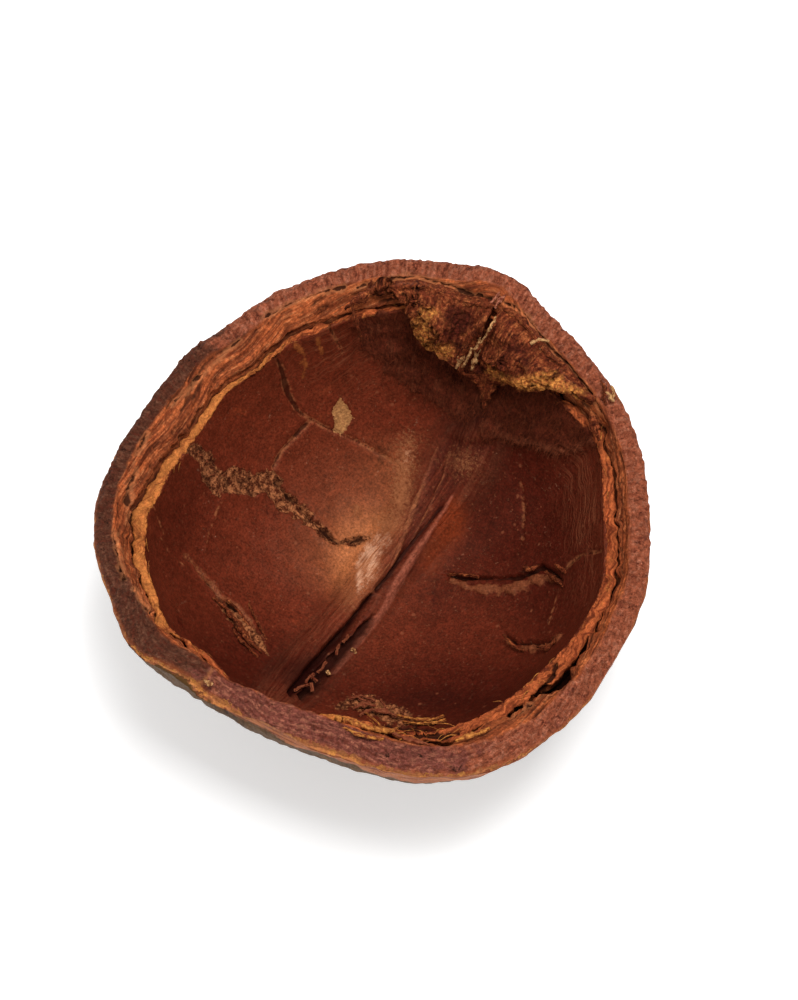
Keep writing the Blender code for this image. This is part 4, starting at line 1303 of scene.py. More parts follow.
# Curled bits that stand off the surface: material, then paths
# Points of a path are (x, y, half width in pixels, lift in millimetres)
FLAKES = {
    "stem_shelf": ("flake", (
        ((376, 288, 1.5, 2.2), (398, 287, 4.0, 3.2), (420, 286, 5.0, 3.6), (440, 291, 5.4, 3.8),
         (456, 297, 5.0, 3.8),
         (473, 303, 4.2, 3.6), (488, 305, 3.0, 3.4), (497, 307, 1.2, 2.8)),
        ((503, 308, 1.2, 2.8), (515, 314, 3.4, 3.6), (526, 324, 3.6, 3.8), (536, 338, 3.2, 3.8),
         (548, 354, 2.6, 3.4),
         (562, 367, 1.2, 2.8)),
    )),
    "crack_sides": ("flake", (
        ((492, 306, 1.4, 5.2), (484, 318, 2.8, 6.4), (474, 334, 3.2, 7.0), (465, 348, 2.6, 7.0),
         (458, 360, 1.2, 6.4)),
        ((499, 316, 0.8, 5.4), (491, 330, 1.6, 6.2), (482, 344, 2.0, 7.0), (476, 354, 1.0, 6.8)),
    )),
    "straw_ridges": ("straw", (
        ((480, 340, 1.0, 7.0), (477, 350, 2.6, 7.6), (475, 361, 2.8, 7.4), (470, 371, 1.0, 6.6)),
        ((470, 341, 1.2, 7.0), (463, 352, 3.0, 7.6), (459, 362, 2.6, 7.2), (456, 370, 1.0, 6.4)),
        ((471, 350, 0.8, 7.8), (467, 360, 1.6, 8.0), (462, 369, 0.8, 7.2)),
        ((497, 317, 0.5, 6.0), (488, 332, 0.8, 6.8), (480, 345, 0.6, 7.4)),
    )),
    "tip_edge": ("flake", (
        ((457, 371, 1.0, 6.0), (466, 375, 2.2, 6.2), (477, 377, 2.2, 6.0), (488, 378, 1.0, 5.6)),
        ((480, 360, 1.0, 6.4), (485, 367, 2.4, 6.6), (492, 374, 2.2, 6.2), (500, 380, 1.0, 5.6)),
    )),
    "notch_ridges": ("ridge", (
        ((514, 284, 1.0, 2.4), (507, 292, 1.8, 3.0), (500, 300, 1.8, 3.4), (494, 308, 0.8, 3.4)),
        ((508, 281, 0.8, 2.4), (502, 289, 1.2, 2.8), (495, 299, 1.2, 3.2), (489, 305, 0.6, 3.0)),
    )),
    "rim_chips": ("straw", (
        ((530, 344, 1.2, 5.6), (536, 341, 2.4, 6.2), (543, 340, 1.4, 5.8), (549, 341, 1.0, 5.6)),
        ((541, 349, 0.8, 5.2), (539, 344, 1.0, 5.6), (537, 337, 0.7, 5.6)),
        ((604, 392, 1.0, 1.8), (609, 395, 2.8, 2.4), (614, 402, 1.2, 2.0)),
        ((611, 386, 0.6, 2.0), (614, 392, 1.0, 2.4), (613, 399, 0.6, 2.0)),
        ((204, 679, 1.0, 0.9), (209, 684, 2.4, 1.2), (213, 682, 1.2, 1.0)),
    )),
    "curled_flakes": ("flake", (
        ((345, 310, 1.5, 2.0), (353, 303, 3.6, 3.2), (363, 298, 4.2, 3.6), (371, 291, 3.0, 3.2),
         (377, 285, 1.5, 2.4)),
        ((591, 411, 2.0, 1.6), (592, 421, 4.6, 3.0), (595, 431, 4.0, 3.0), (599, 441, 1.2, 1.6)),
        ((352, 300, 1.0, 2.2), (355, 320, 2.0, 3.0), (362, 341, 0.9, 2.0)),
        ((601, 380, 1.0, 1.6), (605, 388, 2.4, 2.2), (604, 398, 2.0, 2.0), (606, 405, 0.8, 1.4)),
    )),
    "hanging_flap": ("flake", (
        ((488, 375, 13.0, 3.6), (487, 386, 9.5, 3.0), (485, 397, 5.0, 2.0), (483, 409, 1.0, 1.0)),
    )),
    "slit_flakes": ("flake", (
        ((213, 597, 0.8, 0.4), (224, 605, 2.4, 0.9), (236, 621, 3.0, 1.1), (249, 640, 3.0, 1.0),
         (262, 653, 0.8, 0.5)),
        ((248, 603, 0.5, 0.5), (256, 618, 1.5, 0.9), (266, 639, 0.7, 0.5)),
        ((228, 600, 0.6, 0.5), (240, 612, 1.6, 0.9), (247, 624, 0.8, 0.6)),
        ((232, 628, 0.6, 0.5), (243, 642, 1.6, 0.8), (258, 656, 0.6, 0.4)),
    )),
    "crack_flakes": ("flake", (
        ((522, 567, 0.8, 0.8), (530, 570, 2.6, 1.3), (538, 565, 1.0, 0.9)),
        ((554, 564, 0.8, 0.8), (561, 569, 2.6, 1.3), (566, 573, 0.8, 0.6)),
        ((545, 571, 0.8, 0.8), (553, 578, 2.6, 1.3), (562, 585, 0.8, 0.6)),
        ((503, 633, 0.5, 0.6), (512, 645, 1.8, 1.0), (523, 650, 0.8, 0.8)),
        ((536, 646, 0.8, 0.6), (546, 648, 2.2, 1.0), (554, 641, 1.6, 1.0), (558, 634, 0.6, 0.6)),
        ((448, 575, 0.5, 0.4), (462, 574, 1.2, 0.8), (478, 577, 0.6, 0.5)),
    )),
    "groove_flakes": ("hair", (
        ((336, 654, 0.6, 1.4), (337, 648, 1.2, 1.8), (340, 644, 0.8, 1.6)),
        ((343, 642, 0.5, 1.4), (346, 639, 1.1, 1.6), (349, 634, 0.4, 1.2)),
        ((318, 673, 0.5, 1.4), (323, 667, 1.0, 1.8), (327, 661, 0.5, 1.4)),
        ((306, 683, 0.5, 1.4), (309, 677, 1.3, 2.0), (314, 673, 0.6, 1.6)),
        ((309, 675, 0.5, 1.6), (314, 677, 1.0, 2.0), (317, 682, 0.4, 1.4)),
        ((295, 690, 0.5, 1.4), (302, 686, 1.2, 1.8), (309, 683, 0.5, 1.6)),
        ((311, 682, 0.3, 1.4), (312, 687, 0.7, 1.8), (313, 691, 0.3, 1.4)),
    )),
    "groove_chips": ("straw", (
        ((289, 678, 0.4, 0.8), (291, 681, 1.1, 1.0), (291, 684, 0.4, 0.8)),
        ((351, 649, 0.2, 0.8), (354, 650, 0.3, 0.9), (355, 653, 0.2, 0.8)),
        ((327, 670, 0.2, 0.9), (329, 673, 0.3, 1.0), (329, 675, 0.2, 0.9)),
    )),
    "low_torn_bits": ("hair", (
        ((353, 708, 0.8, 0.8), (364, 703, 2.4, 1.2), (376, 706, 1.0, 1.0)),
        ((360, 714, 0.8, 0.8), (372, 709, 2.4, 1.2), (386, 711, 2.0, 1.2), (396, 716, 0.8, 1.0)),
        ((349, 699, 0.5, 0.6), (361, 696, 1.2, 1.0), (375, 700, 0.5, 0.8)),
        ((352, 693, 0.3, 0.4), (360, 699, 0.7, 0.8), (370, 703, 0.4, 0.6)),
        ((380, 698, 0.3, 0.5), (384, 705, 0.8, 0.9), (386, 713, 0.4, 0.8)),
        ((392, 733, 0.8, 1.0), (404, 737, 2.6, 1.8), (418, 741, 2.0, 1.8), (430, 744, 0.8, 1.4)),
    )),
    "low_flakes": ("splinter", (
        ((337, 715, 1.0, 1.0), (349, 719, 2.8, 1.6), (361, 725, 3.0, 1.8), (374, 729, 1.4, 1.6)),
        ((370, 722, 1.0, 1.2), (380, 726, 2.8, 1.8), (391, 727, 2.4, 1.8), (398, 722, 0.8, 1.4)),
        ((342, 727, 0.8, 1.2), (356, 733, 1.8, 1.8), (371, 737, 1.4, 2.0), (384, 739, 0.6, 1.6)),
        ((396, 715, 0.8, 1.0), (412, 718, 1.8, 1.5), (430, 720, 1.6, 1.5), (444, 715, 0.8, 1.0)),
        ((402, 721, 0.5, 1.0), (418, 723, 1.3, 1.5), (436, 722, 1.0, 1.4), (446, 719, 0.5, 1.0)),
        ((455, 741, 0.8, 2.0), (466, 736, 2.2, 2.6), (478, 733, 2.0, 2.4), (490, 727, 0.8, 2.0)),
    )),
}


def spread_line(path, count):
    """Points evenly spread along a broken line."""
    path = np.asarray(path, float)
    lengths = np.append(0, np.cumsum(np.linalg.norm(np.diff(path[:, :2], axis=0), axis=1)))
    at = np.linspace(0, lengths[-1], count)
    return np.stack([np.interp(at, lengths, path[:, axis]) for axis in range(path.shape[1])], axis=-1)


def sheet_body(front, thickness):
    """Points and faces of a closed body from a grid of front points and how thick it is behind them."""
    back = front - grid_normals_open(front) * thickness[..., None]
    rows, columns = front.shape[:2]
    index = np.arange(rows * columns).reshape(rows, columns)
    behind = index + rows * columns
    faces = [*quads_of(index), *quads_of(behind[:, ::-1])]
    border = [*index[0, :-1], *index[:-1, -1], *index[-1, :0:-1], *index[:0:-1, 0]]
    other = [*behind[0, :-1], *behind[:-1, -1], *behind[-1, :0:-1], *behind[:0:-1, 0]]
    for one, two, three, four in zip(border, other, np.roll(other, -1), np.roll(border, -1)):
        faces.append((int(one), int(two), int(three), int(four)))
    return np.vstack((front.reshape(-1, 3), back.reshape(-1, 3))), faces


def quads_of(index):
    quads = np.stack((index[:-1, :-1], index[1:, :-1], index[1:, 1:], index[:-1, 1:]), axis=-1)
    return quads.reshape(-1, 4).tolist()


def grid_normals_open(grid):
    """Normals of an open grid, turned to the eye."""
    normal = np.cross(np.gradient(grid, axis=0), np.gradient(grid, axis=1))
    normal = normal / np.maximum(np.linalg.norm(normal, axis=-1, keepdims=True), 1e-9)
    return normal * np.sign(np.mean(normal @ VIEW_BACK))


def bridged(depth, pixels, steepest):
    """Depths with no point further behind its neighbour than the steepest slope lets it lie."""
    depth = depth.copy()
    for _axis in range(2):
        for _way in range(2):
            for row in range(1, len(depth)):
                step = PIXEL * np.linalg.norm(pixels[row] - pixels[row - 1], axis=-1)
                depth[row] = np.maximum(depth[row], depth[row - 1] - steepest * step)
            depth, pixels = depth[::-1], pixels[::-1]
        depth, pixels = np.swapaxes(depth, 0, 1), np.swapaxes(pixels, 0, 1)
    return depth


def draped(pixels, lifts, rounds, headroom, steepest):
    """A sheet over the ground at a grid of pixels, lifted within the valve's height and then smoothed."""
    flat = from_picture(pixels.reshape(-1, 2), 0 * lifts.reshape(-1)).reshape(*pixels.shape[:2], 3)
    room = (CAD_HIGH[2] - headroom - flat[..., 2]) / VIEW_BACK[2]
    lifts = np.minimum(lifts, room)
    flat = flat + lifts[..., None] * VIEW_BACK
    depth = flat @ VIEW_BACK
    depth = bridged(depth, pixels, steepest)
    flat = flat + (depth - flat @ VIEW_BACK)[..., None] * VIEW_BACK
    smooth = depth.copy()
    for _round in range(rounds):
        smooth[1:-1] = (smooth[:-2] + smooth[1:-1] + smooth[2:]) / 3
        smooth[:, 1:-1] = (smooth[:, :-2] + smooth[:, 1:-1] + smooth[:, 2:]) / 3
    smooth = np.maximum(smooth, depth - 0.25 * lifts)
    return flat + (smooth - depth)[..., None] * VIEW_BACK


def make_stem_lobes(materials):
    """Two lobes of torn tissue that hang from the stem end of the rim over the lining."""
    rows, columns = 130, 170
    for name, lobe in STEM_LOBES.items():
        top_pixels = spread_line(lobe["top"], columns)
        free_pixels = spread_line(lobe["free"], columns)
        flat = np.pad(free_pixels / 7, ((0, 0), (0, 1)))
        free_pixels = free_pixels + 2.4 * np.stack((rough(flat, 1.0, 51), rough(flat, 1.0, 52)), axis=-1)
        lifts = np.interp(np.linspace(0, 1, columns), np.linspace(0, 1, len(lobe["lifts"])), lobe["lifts"])
        share = np.linspace(0, 1, rows)[:, None, None]
        front = draped(top_pixels + (free_pixels - top_pixels) * share,
                       1.6 * smooth_step(share[..., 0], -0.05, 0.06)
                       + lifts * smooth_step(share[..., 0], 0.0, 0.8), 40, 1.5, LOBE_STEEPEST)
        pixels = to_picture(front)
        marks = spots_at(pixels, lobe["marks"])
        across = np.sin(math.pi * share[..., 0])
        relief = 0.5 * rough(front, 3.0, 54) + 0.22 * rough(front, 1.2, 55) + 0.1 * rough(front, 0.5, 56, 2)
        shift = 0.6 * marks + across * 0.5 + relief * smooth_step(share[..., 0], 0.0, 0.12)
        front = front + grid_normals_open(front) * shift[..., None]
        points, faces = sheet_body(front, 0.4 + 1.4 * across * np.ones(columns))
        # The sunken marks also get painted shade in their hollows
        masks = {
            "fall": share[..., 0] * np.ones(columns), "hollow": np.maximum(-marks, 0) * 0.8,
            "ochre": spots_at(pixels, lobe["ochre"]),
            "onward_length": 20 * share[..., 0] * np.ones(columns),
        }
        masks = {label: np.concatenate((values.ravel(), values.ravel())) for label, values in masks.items()}
        finish_piece(link_mesh(name, points, faces, masks), materials[name])


def make_flakes(materials):
    """Curled bits of torn tissue, straw and splinters, each group in one piece."""
    rows, columns = 50, 12
    across = np.linspace(-1, 1, columns)
    for name, (material, paths) in FLAKES.items():
        points, faces, falls, start = [], [], [], 0
        for number, path in enumerate(paths):
            line = spread_line(path, rows)
            run = np.gradient(line[:, :2], axis=0)
            run = run / np.linalg.norm(run, axis=1, keepdims=True)
            side = np.stack((-run[:, 1], run[:, 0]), axis=-1)
            flat = np.pad(line[:, :2] / 3, ((0, 0), (0, 1)), constant_values=number)
            half = line[:, 2] * (1 + 0.6 * rough(flat, 1.3, 61))
            pixels = line[:, None, :2] + side[:, None, :] * (half[:, None] * across)[..., None]
            pixels = pixels + 0.8 * rough(flat, 1.6, 62)[:, None, None] * side[:, None, :]
            lifts = line[:, 3][:, None] + 0 * across
            base = draped(pixels, lifts, 3, 0.9, FLAKE_STEEPEST)
            bend = 0.35 * np.sqrt(half)[:, None] * (1 - across ** 2)
            bend = bend + 0.3 * rough(base, 1.4, 63 + number) + 0.15 * rough(base, 0.5, 80 + number, 2)
            body, quads = sheet_body(base + bend[..., None] * VIEW_BACK, 0.35 + 0 * lifts)
            points.append(body)
            faces += [tuple(corner + start for corner in quad) for quad in quads]
            falls.append(np.tile(np.abs(across), rows * 2))
            start += len(body)
        fall = np.concatenate(falls)
        masks = {"fall": fall, "hollow": 0 * fall, "ochre": 0 * fall, "onward_length": 20 * fall}
        finish_piece(link_mesh(name, np.vstack(points), faces, masks), materials[material])


def new_growth(name, inputs):
    """An empty Geometry Nodes tree with a geometry going in and out."""
    tree = bpy.data.node_groups.new(name, "GeometryNodeTree")
    tree.interface.new_socket(name="Geometry", in_out="INPUT", socket_type="NodeSocketGeometry")
    for label, kind, default in inputs:
        socket = tree.interface.new_socket(name=label, in_out="INPUT", socket_type="NodeSocket" + kind)
        if default is not None:
            socket.default_value = default
    tree.interface.new_socket(name="Geometry", in_out="OUTPUT", socket_type="NodeSocketGeometry")
    return tree, tree.nodes.new("NodeGroupInput").outputs, tree.nodes.new("NodeGroupOutput").inputs


def end_growth(tree, given, made, geometry):
    real = add(tree, "GeometryNodeRealizeInstances", (geometry,)).outputs[0]
    dressed = add(tree, "GeometryNodeSetMaterial", {"Geometry": real,
                                                    "Material": given["Material"]}).outputs[0]
    tree.links.new(dressed, made["Geometry"])


def make_fibre_tree():
    """Tapering bent fibres that follow the guide's run."""
    tree, given, made = new_growth("torn fibres", (("Density", "Float", 1e5), ("Length", "Float", 0.003),
                                                   ("Thickness", "Float", 0.0002), ("Lift", "Float", 0.3),
                                                   ("Spread", "Float", 0.4), ("Seed", "Int", 1),
                                                   ("Material", "Material", None)))
    points = add(tree, "GeometryNodeDistributePointsOnFaces",
                 {"Mesh": given["Geometry"], "Density": given["Density"], "Seed": given["Seed"]})
    tip = add(tree, "ShaderNodeCombineXYZ", (0.0, 0.0, given["Length"])).outputs[0]
    line = add(tree, "GeometryNodeCurvePrimitiveLine", {"End": tip}).outputs[0]
    line = add(tree, "GeometryNodeResampleCurve", {"Curve": line, "Count": 5}).outputs[0]
    step = add(tree, "GeometryNodeSplineParameter").outputs["Factor"]
    bow = times(tree, times(tree, step, step), times(tree, given["Length"], 0.3))
    sway = times(tree, maths(tree, "SINE", times(tree, step, 5.0)), times(tree, given["Length"], 0.06))
    offset = add(tree, "ShaderNodeCombineXYZ", (bow, sway, 0.0)).outputs[0]
    line = add(tree, "GeometryNodeSetPosition", {"Geometry": line, "Offset": offset}).outputs[0]
    taper = minus(tree, 1.0, times(tree, step, 0.75))
    line = add(tree, "GeometryNodeSetCurveRadius", {"Curve": line, "Radius": taper}).outputs[0]
    ring = add(tree, "GeometryNodeCurvePrimitiveCircle", {"Resolution": 3,
                                                          "Radius": given["Thickness"]}).outputs[0]
    fibre = add(tree, "GeometryNodeCurveToMesh",
                {"Curve": line, "Profile Curve": ring, "Scale": taper, "Fill Caps": True}).outputs[0]
    run = add(tree, "GeometryNodeInputNamedAttribute", {"Name": "run"}, data_type="FLOAT_VECTOR").outputs[0]
    scatter = add(tree, "FunctionNodeRandomValue", {0: (-1, -1, -1), 1: (1, 1, 1), "Seed": given["Seed"]},
                  data_type="FLOAT_VECTOR").outputs[0]
    stray = scaled(tree, scatter, given["Spread"])
    raised = scaled(tree, points.outputs["Normal"], given["Lift"])
    aim = vectors(tree, "ADD", run, stray)
    aim = vectors(tree, "ADD", aim, raised)
    turn = add(tree, "FunctionNodeAlignRotationToVector", {"Vector": aim}, axis="Z").outputs[0]
    size = add(tree, "FunctionNodeRandomValue", {2: 0.35, 3: 1.0, "Seed": given["Seed"]},
               data_type="FLOAT").outputs[1]
    grown = add(tree, "GeometryNodeInstanceOnPoints", {"Points": points.outputs["Points"], "Instance": fibre,
                                                       "Rotation": turn, "Scale": size}).outputs[0]
    end_growth(tree, given, made, grown)
    return tree


def make_crumb_tree():
    """Small angular crumbs of uneven sizes."""
    tree, given, made = new_growth("crumbs", (
        ("Density", "Float", 1e5), ("Size", "Float", 0.0003), ("Flatness", "Float", 0.6), ("Seed", "Int", 1),
        ("Material", "Material", None)))
    points = add(tree, "GeometryNodeDistributePointsOnFaces",
                 {"Mesh": given["Geometry"], "Density": given["Density"], "Seed": given["Seed"]})
    ball = add(tree, "GeometryNodeMeshIcoSphere", {"Radius": given["Size"], "Subdivisions": 2}).outputs[0]
    place = add(tree, "GeometryNodeInputPosition").outputs[0]
    dent = add(tree, "ShaderNodeTexNoise", {"Vector": place, "Scale": 2600.0, "Detail": 1.0}).outputs[1]
    dent = vectors(tree, "SUBTRACT", dent, (0.5, 0.5, 0.5))
    dent = scaled(tree, dent, given["Size"])
    ball = add(tree, "GeometryNodeSetPosition", {"Geometry": ball, "Offset": dent}).outputs[0]
    turn = add(tree, "FunctionNodeRandomValue", {0: (0, 0, 0), 1: (6.3, 6.3, 6.3), "Seed": given["Seed"]},
               data_type="FLOAT_VECTOR").outputs[0]
    size = add(tree, "FunctionNodeRandomValue", {0: (0.3, 0.3, 0.3), 1: (1.3, 1.0, 0.9),
                                                 "Seed": given["Seed"]}, data_type="FLOAT_VECTOR").outputs[0]
    press = add(tree, "ShaderNodeCombineXYZ", (1.0, 1.0, given["Flatness"])).outputs[0]
    size = vectors(tree, "MULTIPLY", size, press)
    grown = add(tree, "GeometryNodeInstanceOnPoints", {
        "Points": points.outputs["Points"], "Instance": ball, "Rotation": turn, "Scale": size}).outputs[0]
    end_growth(tree, given, made, grown)
    return tree


def guide_mesh(grid, chosen, run):
    """A patch of a grid for things to grow on, with the way that they run."""
    rings, around = grid.shape[:2]
    index = np.arange(rings * around).reshape(rings, around)
    after = np.roll(index, -1, axis=1)
    quads = np.stack((index[:-1], after[:-1], after[1:], index[1:]), axis=-1)[chosen[:-1]]
    used, packed = np.unique(quads, return_inverse=True)
    mesh = bpy.data.meshes.new("guide")
    mesh.from_pydata(((grid.reshape(-1, 3)[used] - MIDDLE) * MM).tolist(), [],
                     packed.reshape(-1, 4).tolist())
    layer = mesh.attributes.new("run", "FLOAT_VECTOR", "POINT")
    layer.data.foreach_set("vector", run.reshape(-1, 3)[used].astype(np.float32).ravel())
    guide = bpy.data.objects.new("guide", mesh)
    bpy.context.scene.collection.objects.link(guide)
    return guide


def grow(name, guide, tree, material, **settings):
    """Runs a tree on a guide, keeps the result as a plain mesh and drops the guide."""
    live = guide.modifiers.new("growth", "NODES")
    live.node_group = tree
    wanted = {label.replace("_", " "): value for label, value in settings.items()}
    wanted["Material"] = material
    for item in tree.interface.items_tree:
        if item.in_out == "INPUT" and item.name in wanted:
            live[item.identifier] = wanted[item.name]
    evaluated = guide.evaluated_get(bpy.context.evaluated_depsgraph_get())
    mesh = bpy.data.meshes.new_from_object(evaluated)
    bpy.data.objects.remove(guide)
    if not mesh.vertices:
        raise RuntimeError(name + " grew nothing")
    spots = np.empty(len(mesh.vertices) * 3)
    mesh.vertices.foreach_get("co", spots)
    spots = np.clip(spots.reshape(-1, 3), CAD_LOW * MM + (1e-5, 1e-5, 0), CAD_HIGH * MM - 1e-5)
    mesh.vertices.foreach_set("co", spots.ravel())
    mesh.update()
    mesh.name = name
    piece = bpy.data.objects.new(name, mesh)
    bpy.context.scene.collection.objects.link(piece)
    finish_piece(piece, material)
    return piece


def round_run(grid, mixed=0.0):
    """Directions that run round the grid."""
    way = np.roll(grid, -1, axis=1) - np.roll(grid, 1, axis=1)
    way = way / np.maximum(np.linalg.norm(way, axis=-1, keepdims=True), 1e-9)
    return way * np.where(rough(grid, 5.0, 71)[..., None] > mixed, 1.0, -1.0)


def tone_table(tones):
    return {name: tuple(getattr(tones, name)) for name in TONE_DEFAULTS}


TONE_DEFAULTS = {
    "skin": (80, 54, 28), "skin_dark": (50, 31, 16), "skin_pale": (108, 76, 42),
    "band": (158, 84, 58), "band_dark": (100, 44, 31), "band_pale": (192, 120, 92),
    "aged": (92, 50, 36), "aged_dark": (48, 25, 19), "aged_pale": (124, 80, 60), "purple": (130, 70, 58),
    "strip": (180, 92, 50), "strip_dark": (114, 50, 27), "strip_pale": (206, 132, 84),
    "fringe": (176, 108, 66), "ochre": (202, 132, 64), "ochre_dim": (154, 84, 42), "crack": (40, 14, 8),
    "lining": (98, 38, 22), "lining_dark": (66, 19, 11), "lining_pale": (116, 48, 27),
    "lining_pale_and_sheen": (180, 106, 62), "fan_pale": (142, 78, 54), "fan_dark": (94, 38, 24),
    "torn": (176, 108, 68), "torn_dark": (90, 40, 23), "ledge": (124, 68, 42), "felt": (106, 46, 29),
    "felt_dark": (70, 27, 17),
    "felt_pale": (140, 78, 52), "felt_hair": (130, 62, 38), "valley": (72, 26, 18), "stout": (164, 90, 68),
    # Next: a pale crumb colour that also serves a painted highlight, and the pale pink-white of the painted
    # highlight
    "dusty": (188, 118, 76), "shine": (244, 188, 152),
    "glow": (128, 50, 22),
    "patch": (176, 123, 75), "groove": (40, 11, 8),
    "tissue": (106, 46, 26), "tissue_dark": (60, 20, 13), "tissue_pale": (166, 92, 52),
    "straw": (214, 166, 112), "straw_dark": (116, 64, 34),
}


class PodTones(bpy.types.PropertyGroup):
    """Colours of the husk, the lining and the torn tissue."""


for tone_name, tone_value in TONE_DEFAULTS.items():
    tone_words = tone_name.replace("_", " ")
    PodTones.__annotations__[tone_name] = bpy.props.FloatVectorProperty(
        name=tone_words.capitalize(), description="Colour of the " + tone_words, subtype="COLOR",
        size=4, min=0, max=1, default=tint(*tone_value))


class PodSizes(bpy.types.PropertyGroup):
    """Sizes of the grown details and the strength of the light."""

    fibre_length: bpy.props.FloatProperty(
        name="Fibre length", description="Longest torn fibre", default=0.0042, min=0.001, subtype="DISTANCE")
    fibre_thickness: bpy.props.FloatProperty(
        name="Fibre thickness", description="Radius of a fibre's root", default=0.00016, min=0.00005,
        subtype="DISTANCE")
    crumb_size: bpy.props.FloatProperty(
        name="Crumb size", description="Radius of a crumb in the broad crack", default=0.00032, min=0.0001,
        subtype="DISTANCE")
    key_power: bpy.props.FloatProperty(
        name="Key light", description="Power of the main soft light", default=8.0, min=0.0, subtype="POWER")
    fill_power: bpy.props.FloatProperty(name="Fill light", description="Power of the second soft light",
                                        default=0.8, min=0.0, subtype="POWER")


class POD_OT_materials(bpy.types.Operator):
    """Make the shared node groups and every finish."""

    bl_idname = "pod.materials"
    bl_label = "Make Finishes"

    def execute(self, context):
        tones = tone_table(context.scene.pod_tones)
        make_shared_groups()
        FINISHES["husk"] = husk_finish(tones)
        FINISHES["lining"] = lining_finish(tones)
        for name, lobe in STEM_LOBES.items():
            FINISHES[name] = tissue_finish(tones, name + "_finish", lobe["ochre_low"])
        FINISHES["flake"] = tissue_finish(tones, "flake_finish", 0.85)
        FINISHES["straw"] = fibre_finish("straw_finish", tones["straw_dark"], tones["straw"])
        FINISHES["hair"] = fibre_finish("hair_finish", tones["felt"], tones["felt_pale"])
        FINISHES["ridge"] = fibre_finish("ridge_finish", tones["band_dark"], tones["band_pale"])
        FINISHES["splinter"] = fibre_finish("splinter_finish", tones["strip_dark"], tones["ochre"])
        FINISHES["crumb"] = fibre_finish("crumb_finish", tones["torn_dark"], tones["ledge"])
        FINISHES["fuzz"] = fibre_finish("fuzz_finish", tones["felt_dark"], tones["felt_hair"])
        return {"FINISHED"}


class POD_OT_husk(bpy.types.Operator):
    """Make the husk: outer skin, corky band, fibrous strip and gap."""

    bl_idname = "pod.husk"
    bl_label = "Add Husk"

    def execute(self, context):
        grid, masks = shape_husk()
        piece = closed_grid("husk", grid, masks)
        finish_piece(piece, FINISHES["husk"])
        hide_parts("pod_valve")
        GRIDS["husk"] = grid, masks
        return {"FINISHED"}


class POD_OT_lining(bpy.types.Operator):
    """Make the lining with its keel, cracks and torn layers."""

    bl_idname = "pod.lining"
    bl_label = "Add Lining"

    def execute(self, context):
        grid, masks, pixels = shape_lining()
        piece = closed_grid("lining", grid, masks)
        finish_piece(piece, FINISHES["lining"])
        GRIDS["lining"] = grid, masks, pixels
        return {"FINISHED"}


class POD_OT_stem_lobes(bpy.types.Operator):
    """Make the two lobes of torn tissue and the curled flakes under the stem end."""

    bl_idname = "pod.stem_lobes"
    bl_label = "Add Stem Lobes"

    def execute(self, context):
        make_stem_lobes(FINISHES)
        make_flakes(FINISHES)
        return {"FINISHED"}


class POD_OT_fibres(bpy.types.Operator):
    """Grow the torn fibres, splinters and crumbs."""

    bl_idname = "pod.fibres"
    bl_label = "Grow Fibres and Crumbs"

    def execute(self, context):
        sizes = context.scene.pod_sizes
        fibre_tree = make_fibre_tree()
        crumb_tree = make_crumb_tree()
        grid, masks, pixels = GRIDS["lining"]
        run = round_run(grid)
        x, y = pixels[..., 0], pixels[..., 1]
        low = (x > 345) & (x < 470) & (y > 700) & (y < 745) & (masks["down"] < 1.5) & (masks["down"] > -4.0)
        grow("gap_fibres", guide_mesh(grid, low, run), fibre_tree, FINISHES["splinter"], Density=3.0e5,
             Length=sizes.fibre_length, Thickness=sizes.fibre_thickness, Lift=0.2, Spread=0.35, Seed=3)
        grow("crack_crumbs", guide_mesh(grid, masks["broad"] < -0.2, run), crumb_tree, FINISHES["crumb"],
             Density=1.6e5, Size=sizes.crumb_size * 1.5, Flatness=0.4, Seed=5)
        felt = masks["felt"] < 0.5
        fall_way = np.gradient(grid, axis=0)
        fall_way = fall_way / np.maximum(np.linalg.norm(fall_way, axis=-1, keepdims=True), 1e-9)
        grow("felt_fuzz", guide_mesh(grid, felt, fall_way), fibre_tree, FINISHES["fuzz"], Density=8.0e6,
             Length=sizes.fibre_length * 0.35, Thickness=sizes.fibre_thickness * 0.35, Lift=0.25, Spread=0.7,
             Seed=9)
        grow("fringe_hairs", guide_mesh(grid, masks["felt_fringe"] < 0.2, fall_way), fibre_tree,
             FINISHES["hair"], Density=1.6e6, Length=sizes.fibre_length * 0.4,
             Thickness=sizes.fibre_thickness * 0.35, Lift=0.3, Spread=0.4, Seed=11)
        edge = (masks["down"] < 0.2) & (masks["down"] > -1.6)
        grow("edge_fibres", guide_mesh(grid, edge, run), fibre_tree, FINISHES["splinter"], Density=1.0e5,
             Length=sizes.fibre_length * 0.6, Thickness=sizes.fibre_thickness * 0.8, Lift=0.12, Spread=0.2,
             Seed=7)
        return {"FINISHED"}


class POD_OT_stage(bpy.types.Operator):
    """Lay the pale floor, hang the soft lights and set the camera at the photograph's angle."""

    bl_idname = "pod.stage"
    bl_label = "Set Stage"

    def execute(self, context):
        sizes = context.scene.pod_sizes
        scene = context.scene
        lay_floor()
        aim = (AIM - MIDDLE) * MM
        hang_light("key_light", aim, KEY_WAY, KEY_SIZE, sizes.key_power)
        hang_light("fill_light", aim, FILL_WAY, FILL_SIZE, sizes.fill_power)
        world = bpy.data.worlds.new("studio")
        world.use_nodes = True
        world.node_tree.nodes["Background"].inputs["Color"].default_value = (1, 1, 1, 1)
        world.node_tree.nodes["Background"].inputs["Strength"].default_value = WORLD_STRENGTH
        scene.world = world
        scene.view_settings.view_transform = "Standard"
        set_camera(scene, aim)
        return {"FINISHED"}


